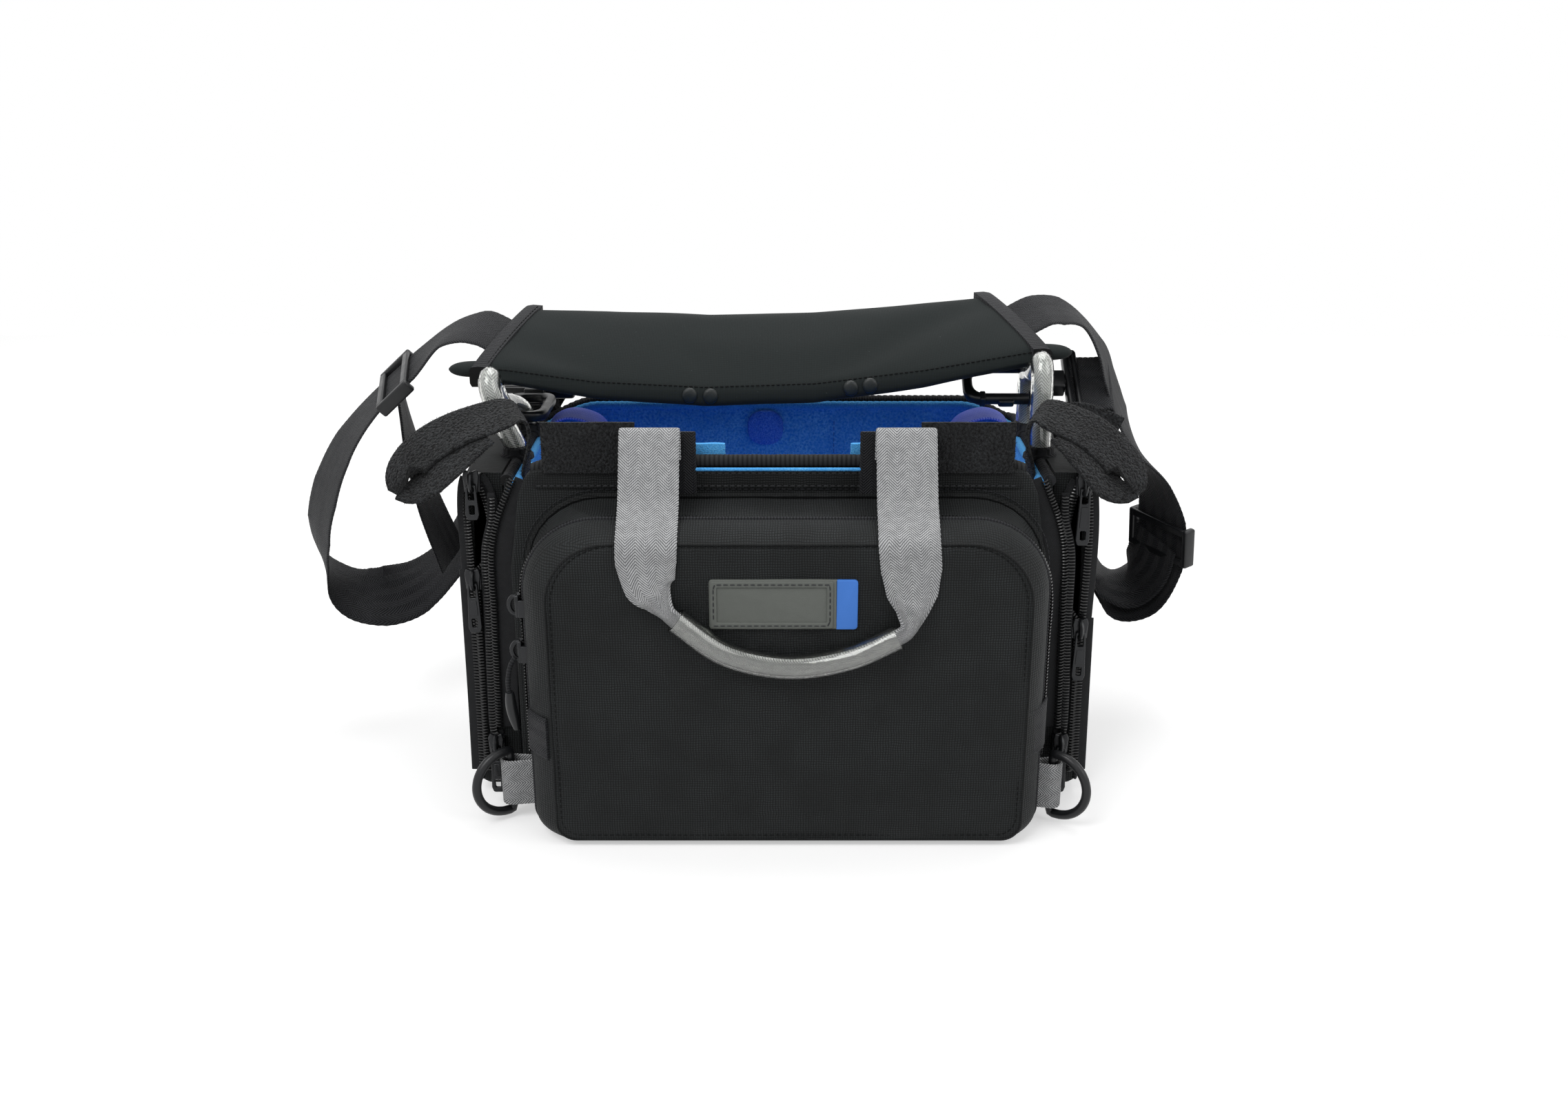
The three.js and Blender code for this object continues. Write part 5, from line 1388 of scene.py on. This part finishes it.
def make_cord_pull():
    """A cord on the pocket's lower slider, with a moulded tip that keeps its end."""
    body = "front_pocket_slider_lower"
    rows = [(-134.6, -96.5, 99.5), (-136.8, -97.2, 96.0), (-138.4, -98.0, 90), (-138.9, -98.2, 84),
            (-138.2, -98.0, 78), (-137.4, -97.6, 70.5)]
    path = smooth_path(rows, 1.2)
    rope = make("zip_cord", tube(path, 1.25, 10), BINDING, body)
    tip_rows = [(-138.3, -98.1, 80.5), (-138.0, -98, 72), (-136.6, -97.4, 63), (-136.0, -97.2, 59)]
    tip_line = smooth_path(tip_rows, 1.2)
    tip = make("zip_cord_tip", tube(tip_line, lambda t: 2.9 * (1 - 0.35 * abs(2 * t - 0.9) ** 2.4), 12),
               ACETAL, body, smooth=60)


# ---------------------------------------------------------------- inner and cable straps


def make_inner_strap(name, side):
    wall = 133.4
    rows = [(wall, 178), (wall - 3, 188), (wall - 14, 193), (wall - 30, 188), (wall - 36, 175),
            (wall - 28, 160), (wall - 10, 151), (wall - 0.4, 140), (wall, 130)]
    shape = strip([(side * x, 38, z, 0, 1, 0) for x, z in rows], 25, 1.6, flutter=0.5, seed=side)
    make(f"inner_strap_{name}_webbing", shape, BLUE_WEBBING, "root",
         [f"inner_strap_{name}"])


def make_cable_strap(name, side, reach):
    """Hook-and-loop strap sewn inside the wall: up over the rim, out and folded back on itself."""
    wall = 133.3
    flat, spread = (0, -1, 0), (side * -0.66, -0.66, -0.34)

    def out(share):
        return wall + share * (reach - wall)
    rows = [(wall, -40, 168, *flat), (wall - 0.3, -40, 186, *flat),
            (wall - 2.5, -41, 203, side * -0.2, -0.95, -0.1),
            (wall + 2, -43, 214, side * -0.5, -0.8, -0.25), (out(0.35), -47, 212, *spread),
            (out(0.7), -52, 206, *spread), (reach, -57, 196, *spread), (reach + 5.5, -62, 188, *spread),
            (reach + 4, -66, 183.3, *spread), (reach - 3, -67, 184, *spread),
            (out(0.72), -64, 192.4, *spread), (out(0.5), -56.5, 202.5, *spread),
            (out(0.4), -52, 206.5, *spread)]
    shape = strip([(side * x, *rest) for x, *rest in rows], 25, 1.8, step=1.6, picot=0.1, flutter=0.5,
                  seed=side + 3)
    loop_tape(f"cable_strap_{name}", shape, "root", [f"cable_strap_{name}"], 5200, 31 + side)
    if side > 0:
        rows = [(out(0.25), -34, 205, 0.3, -0.3, -0.9), (out(0.6), -32, 209, 0.2, -0.3, -0.93),
                (out(0.95), -33, 205, 0.2, -0.3, -0.93), (out(1.12), -35, 202, 0.2, -0.3, -0.93)]
        end = strip(rows, 16, 1.8, step=1.6, picot=0.1, flutter=0.4, seed=8)
        loop_tape("cable_strap_right_end", end, "root", (), 900, 37)


# ---------------------------------------------------------------- hoops, pad and shoulder strap


def mix_rows(rows, x):
    """The other values of the rows at a first value between them."""
    rows = sorted(rows)
    n = min(max(1, sum(row[0] < x for row in rows)), len(rows) - 1)
    a, b = rows[n - 1], rows[n]
    share = (x - a[0]) / (b[0] - a[0])
    return [p + share * (q - p) for p, q in zip(a[1:], b[1:])]


# x, height of the near edge, height of the far edge, thickness
PAD_ROWS = [(-182, 229.5, 248, 9), (-163, 229, 248, 9), (-148, 228, 248, 10), (-100, 221.5, 248, 12),
            (-40, 218.5, 246, 13), (20, 220.5, 247, 13), (80, 228, 252, 12), (132, 237, 256.5, 10),
            (146, 239, 257, 9), (172, 241, 257, 8)]
PAD_DEPTH = 70
PAD_END = {-1: (-165, 0.27), 1: (145, -0.33)}   # x of each end at the near edge, and its slant


def pad_plane(x, y):
    """The height of the pad's upper plane, and its thickness."""
    near, far, thickness = mix_rows(PAD_ROWS, x)
    return near + (far - near) * y / PAD_DEPTH, thickness


def pad_profile(thickness):
    """Round the pad from its front seam over the top: y and height above the plane."""
    t = thickness
    return [(0, -0.2), (1.2, 0.7), (4, 1.5), (9, 2.1), (16, 2.5), (24, 2.7), (32, 2.8), (40, 2.7),
            (48, 2.5), (56, 2.0), (63, 1.2), (67.5, 0), (70, -2), (70.6, -t * 0.5), (69.5, 1.5 - t),
            (66, -t), (58, -t), (50, -t), (42, -t), (34, -t), (26, -t), (18, -t), (10, -t), (4, -t),
            (0.4, 0.8 - t), (-1.8, 2.6 - t), (-2.9, 5 - t), (-3.0, -0.5 * t), (-2.2, -3.0), (-1.0, -1.4)]


PAD_SEWN = (0, 13)               # rows of the profile that a seam holds


def pad_end_x(side, y):
    """Where the pad's slanted end lies at a depth."""
    start, slant = PAD_END[side]
    return start + slant * y


def end_hump(y):
    """How far the binding stands up over the pad's end, at a depth."""
    return 2.2 * math.sin(math.pi * min(1, max(0, y / PAD_DEPTH))) ** 0.6


def pad_shape():
    rings = []
    count = 96
    for n in range(count + 1):
        u = n / count
        rings.append([])
        thickness = pad_plane(-165 + 310 * u, 0)[1]
        for y, up in pad_profile(thickness):
            left, right = pad_end_x(-1, y), pad_end_x(1, y)
            x = left + u * (right - left)
            lump = 0.5 * noise.noise(Vector((x / 40, y / 25, up * 0.1)))
            rings[-1].append(Vector((x, y, pad_plane(x, y)[0] + up + lump)))
    return loft(rings)


SWELL_FRAMES = 20


def swell(name, shape, sewn, pressure, most):
    """Blows a padded shape up as cloth, held at its seams, and limits how far a point moves."""
    mesh = mesh_from(name, shape, 60)
    piece = bpy.data.objects.new(name, mesh)
    bpy.context.scene.collection.objects.link(piece)
    held = piece.vertex_groups.new(name="sewn")
    held.add(list(sewn), 1.0, "REPLACE")
    cloth = piece.modifiers.new("swell", "CLOTH")
    cloth.settings.vertex_group_mass = held.name
    cloth.settings.use_pressure = True
    cloth.settings.uniform_pressure_force = pressure
    cloth.settings.effector_weights.gravity = 0
    cloth.settings.quality = 6
    cloth.point_cache.frame_start = 1
    cloth.point_cache.frame_end = SWELL_FRAMES
    for number in range(1, SWELL_FRAMES + 1):
        bpy.context.scene.frame_set(number)
    blown = evaluated(piece)
    for point, rest in zip(blown.vertices, [v.co.copy() for v in mesh.vertices]):
        moved = point.co - rest
        if moved.length > most * MM:
            point.co = rest + moved.normalized() * most * MM
    bpy.context.scene.frame_set(1)
    bpy.data.objects.remove(piece)
    finish_mesh(blown, 60)
    return blown


def make_pad():
    shape = pad_shape()
    per_ring = len(pad_profile(10))
    last = len(shape.points) - per_ring
    sewn = [i for i in range(len(shape.points)) if i % per_ring in PAD_SEWN or i < per_ring or i >= last]
    mesh = swell("shoulder_pad", shape, sewn, 4, 3)
    pad = place_object("shoulder_pad_neoprene", mesh, NEOPRENE, "shoulder_pad",
                       ["shoulder_pad"])
    smoother = pad.modifiers.new("smooth", "SUBSURF")
    smoother.levels = smoother.render_levels = 1

    bindings, noses, rows = Shape(), Shape(), Shape()
    for side in (-1, 1):
        rings, cloth = [], []
        for n in range(38):
            y = -3.2 + 74 * n / 37
            x0 = pad_end_x(side, y)
            plane, thickness = pad_plane(x0, y)
            top = plane + 1.2 + end_hump(y)
            low = plane - thickness - 0.8
            inner, outer = x0 - side * 8.5, x0 + side * 1.6
            section = [(inner, low), (outer - side, low), (outer, low + 2), (outer, top - 2),
                       (outer - side * 1.2, top - 0.3), (x0 - side * 3, top + 0.2), (inner, top - 0.2)]
            rings.append([Vector((x, y, z)) for x, z in section])
            cloth.append([(k * 3.2, y, 0) for k in range(7)])
        bindings.join(loft(rings, cloth))
        base = pad_end_x(side, 6)
        plane, thickness = pad_plane(base, 4)
        nose = []
        for n in range(13):
            t = n / 12
            wide = 8.5 * math.sqrt(max(0.02, 1 - t ** 2.4))
            high = thickness * 0.46 * math.sqrt(max(0.03, 1 - t ** 3))
            x = base + side * 17 * t
            nose.append([Vector((x, 7 + wide * math.cos(a), plane - thickness * 0.45 + high * math.sin(a)))
                         for a in circle(16)])
        noses.join(loft(nose))
        sewing = []
        for n in range(20):
            y = 1 + 68 * n / 19
            x = pad_end_x(side, y) - side * 7
            sewing.append((x, y, pad_plane(x, y)[0] + 1.5 + end_hump(y)))
        rows.join(stitches(sewing, 2.3, 1.0, 0.28))
    make("shoulder_pad_end_bindings", bindings, BINDING, "shoulder_pad")
    make("shoulder_pad_noses", noses, NEOPRENE, "shoulder_pad", smooth=60)
    make("shoulder_pad_binding_stitches", rows, THREAD_SEAM_SHADE, "shoulder_pad")
    seam = [(x, -1.0, pad_plane(x, 0)[0] - 0.7) for x in range(-163, 144, 3)]
    make("shoulder_pad_seam_thread", stitches(seam, 2.0, 0.8, 0.34), THREAD_SEAM_SHADE, "shoulder_pad")
    dots = Shape()
    for x in (-48.4, -37.1, 39.3, 49.8):
        plane, thickness = pad_plane(x, 0)
        dome = [[Vector((x + r * math.cos(a), -3.1 - h, plane - thickness * 0.42 + r * math.sin(a)))
                 for a in circle(16)]
                for r, h in ((4.3, -1.2), (4.2, 0.1), (3.7, 0.6), (2.6, 1.0), (1.0, 1.15))]
        dots.join(loft(dome))
    make("shoulder_pad_dots", dots, RUBBER_DOT, "shoulder_pad", smooth=60)


HOOPS = {"left": (13, 227, 207.5), "right": (-1, 235, 226.3)}   # lean, top, height under the pad


def make_hoop(name, side):
    """A carrying hoop: rolled grey webbing in a clear tube."""
    lean, top, rest = HOOPS[name]
    foot, low = 140.8, 186.3

    def place(share, y, z):
        return (side * (foot + lean * share), y, z)
    route = [place(0, -22, low), place(0, -22, low + 3), place(0.6, -22, (low + top) / 2),
             place(0.95, -21.5, top - 5), place(1, -17, top), place(0.95, -9, (top + rest) / 2),
             place(0.85, 2, rest), place(0.68, 16.5, rest - 3.5), place(0.4, 26.5, rest - 9),
             place(0.2, 28.5, (low + rest - 9) / 2), place(0, 28.5, low + 3), place(0, 28.5, low)]
    make(f"side_hoop_{name}_tube", hose(route, 6, 4.9), CLEAR, "root",
         [f"side_hoop_{name}"])
    line = smooth_path(route, 1.4)
    core = tube(line, 4.4, 14)
    # the webbing's lighter colour is a painted highlight
    make(f"side_hoop_{name}_webbing", core, HOOP_WEBBING_PAINTED_SHINE, "root", smooth=60)
    collars = Shape()
    for y in (-22, 28.5):
        ring = [Vector((side * foot + 7.4 * math.cos(a), y + 7.4 * math.sin(a), 0)) for a in circle(20)]
        sizes = ((1.25, 184.2), (1.2, 186.4), (1.02, 187.4), (1.0, 190), (0.93, 190.8))
        middle = Vector((side * foot, y, 0))
        collars.join(loft([[middle + (p - middle) * s + Vector((0, 0, z)) for p in ring] for s, z in sizes]))
    make(f"side_hoop_{name}_collars", collars, BINDING, "root", smooth=60)


STRAPS = {                       # rows of each route: x, y, z and the direction of the width
    "left": [
        (-152, 35, 236.5, 0.25, 0.93, 0.25),
        (-165.4, 36, 243, 0.1, 0.95, 0.3), (-174, 37, 243, 0.2, 0.95, 0.25),
        (-188, 39, 238, 0.08, 0.98, 0.19),
        (-207, 39, 221, -0.3, 0.94, 0.06), (-229, 39, 201, -0.3, 0.94, 0.06),
        (-253, 40, 172, -0.53, 0.85, -0.02), (-266, 40, 145, -0.62, 0.76, -0.16),
        (-273, 43, 121, -0.55, 0.8, -0.2), (-274, 47, 103, -0.36, 0.9, -0.15),
        (-268, 49, 89, -0.15, 0.93, 0.2), (-256, 49, 79, -0.02, 0.8, 0.57), (-239, 50, 76, 0.02, 0.62, 0.78),
        (-222, 61, 79, -0.13, 0.78, 0.61), (-204, 72, 92, -0.35, 0.85, 0.35),
        (-188, 79, 113, -0.5, 0.8, 0.34),
        (-172, 87, 146, -0.7, 0.6, 0.3), (-156, 96, 178, -0.95, 0.2, 0.1), (-148, 95, 194, -1, 0, 0),
    ],
    "right": [
        (132, 35, 246, -0.3, 0.92, 0.2),
        (147.4, 36, 253, -0.25, 0.93, 0.2), (158, 37, 252.5, -0.1, 0.95, 0.25),
        (170, 36, 247, 0.1, 0.99, 0.04), (181, 33, 232, 0.3, 0.94, -0.1),
        (187, 33, 216, 0.33, 0.93, -0.12), (192, 33, 203, 0.36, 0.93, -0.08),
        (198, 34, 190, 0.38, 0.9, -0.16), (207, 37, 173, 0.2, 0.95, -0.23),
        (219, 40, 152, -0.2, 0.93, -0.28), (226, 41, 130, -0.46, 0.84, -0.28),
        (228, 44, 104, -0.46, 0.84, -0.28), (223, 51, 80, -0.31, 0.95, 0.1),
        (210, 62, 70, -0.16, 0.98, 0.1), (198, 70, 76, -0.02, 0.98, 0.2), (191, 74, 92, 0.15, 0.9, 0.3),
        (188, 72, 125, 0.2, 0.92, 0.1), (188, 60, 163, 0.15, 0.97, -0.1), (188, 42, 192, 0.1, 0.95, 0.2),
        (183, 29, 208, 0, 0.85, 0.5),
    ],
}
STRAP_WIDTH = 38
# middle of each hook's opening, its length's direction and its width's
HOOKS = {"left": ((-144.2, 58.2, 196.5), (0, 1, 0), (1, 0, 0)),
         "right": ((146.5, 24.4, 214), (1, 0, 0), (0, 0.8, 0.6))}
HOOK_SLOT = 17.1                 # from the hook's opening to the eye's slot
ADJUSTER_ROWS = {"left": (4, 5), "right": (10, 11)}      # rows of STRAPS that it sits between
STRAP_TAILS = {                  # the free ends that hang from the adjusters
    "left": [(-218, 42, 206, -0.2, 0.97, 0.1), (-216, 45, 182, -0.1, 0.98, 0.1),
             (-212, 49, 152, 0, 0.99, 0.1), (-205, 53, 122, 0.1, 0.98, 0.1),
             (-198, 56, 98, 0.15, 0.97, 0.1)],
    "right": [(224, 44, 116, -0.46, 0.84, -0.28), (221, 49, 96, -0.5, 0.84, -0.2),
              (213, 57, 83, -0.4, 0.9, 0.1), (201, 65, 82, -0.16, 0.98, 0.2), (193, 69, 92, 0.1, 0.95, 0.3),
              (190, 70, 112, 0.2, 0.92, 0.2)],
}


def make_strap(name, side):
    at, along, across = (Vector(p) for p in HOOKS[name])
    route = list(STRAPS[name])
    route += [(*(at + along * (HOOK_SLOT + run)), *(across * side)) for run in (22, 12, 0)]
    shape = strip(route, STRAP_WIDTH, 1.6, step=1.5, flutter=0.7, seed=side * 2)
    strap = make(f"shoulder_strap_{name}_webbing", shape, WEBBING, None, [f"strap_{name}"])
    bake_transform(strap)
    tail = strip(STRAP_TAILS[name], STRAP_WIDTH, 1.6, flutter=0.9, seed=side * 9)
    make(f"shoulder_strap_{name}_tail", tail, WEBBING, "root")

    first, second = (STRAPS[name][n] for n in ADJUSTER_ROWS[name])
    middle = (Vector(first[:3]) + Vector(second[:3])) / 2
    way = (Vector(second[:3]) - Vector(first[:3])).normalized()
    width = Vector(first[3:]) + Vector(second[3:])
    width = (width - way * width.dot(way)).normalized()
    half = STRAP_WIDTH / 2 + 0.8

    def bar(y, low, high):
        return plate([outline(rectangle(-half - 1, y - 2.3, half + 1, y + 2.3, 0.8))], low, high, 0.9)
    buckle = Shape()
    for end in (-1, 1):
        x = end * (half + 2)
        buckle.join(plate([outline(rectangle(x - 2.1, -12, x + 2.1, 12, 1.6))], -3.9, 3.9, 1.3))
        buckle.join(bar(end * 9.6, 1.4, 3.8))
    buckle.join(bar(0, -3.8, -1.4)).placed(middle, width, way)
    make(f"strap_adjuster_{name}_acetal", buckle, ACETAL, "root",
         [f"strap_adjuster_{name}"])


def make_hook(name):
    """A moulded snap hook: an oval opening with its gate, and a collar that turns on the eye's pin."""
    at, along, across = HOOKS[name]
    edge = outline(rectangle(-43.5, -14, 5.5, 14, 10.5), 10)
    hole = outline(rectangle(-38, -8.5, 0, 8.5, 7.5), 10)
    shape = plate([edge, hole], -3, 3, 2.2, 4)
    collar = outline([(4.0, -6, 2), (13.5, -6, 1), (13.5, 6, 1), (4.0, 6, 2)], 4)
    shape.join(plate([collar], -5, 5, 1.4, 3))
    nub = outline([(-24, -15.6, 1.2), (-16, -15.6, 1.2), (-15, -12.5, 0.6), (-25, -12.5, 0.6)], 4)
    shape.join(plate([nub], -2.2, 2.2, 0.7))
    for x in (-33, -6):
        knuckle = outline(rectangle(x - 1.6, -14.5, x + 1.6, -8.1, 0.8), 3)
        shape.join(plate([knuckle], -3.4, 3.4, 0.8))
    shape.placed(at, along, across)
    make(f"snap_hook_{name}_acetal", shape, ACETAL, f"snap_hook_{name}",
         [f"snap_hook_{name}"], smooth=60)
    half = STRAP_WIDTH / 2 + 0.4
    loop = outline(rectangle(13.8, -half - 3, 21.8, half + 3, 3), 5)
    slot = outline(rectangle(16.9, -half, 18.9, half, 0.8), 4)
    eye = plate([loop, slot], -3.5, 3.5, 1.4, 3)
    pin = tube([(7.8 + k * 0.9, 0, 0) for k in range(9)], 2.9, 14)
    eye.join(pin).placed(at, along, across)
    make(f"hook_eye_{name}_acetal", eye, ACETAL, "root", [f"hook_eye_{name}"], smooth=60)


# ---------------------------------------------------------------- the bag

make_cord_pull()
make_case()
make_front_panel()
make_cover()
make_gusset()
make_pocket_zip()
make_pocket_tabs()
make_patch()
make_handle()
make_sliders()
make_pad()
for side_name, side_sign in SIDES:
    make_corner_zip(side_name, side_sign)
    make_side_pocket(side_name, side_sign)
    make_tabs(side_name, side_sign)
    make_ring(side_name, side_sign)
    make_inner_strap(side_name, side_sign)
    make_cable_strap(side_name, side_sign, 186 if side_sign < 0 else 174)
    make_hoop(side_name, side_sign)
    make_strap(side_name, side_sign)
    make_hook(side_name)
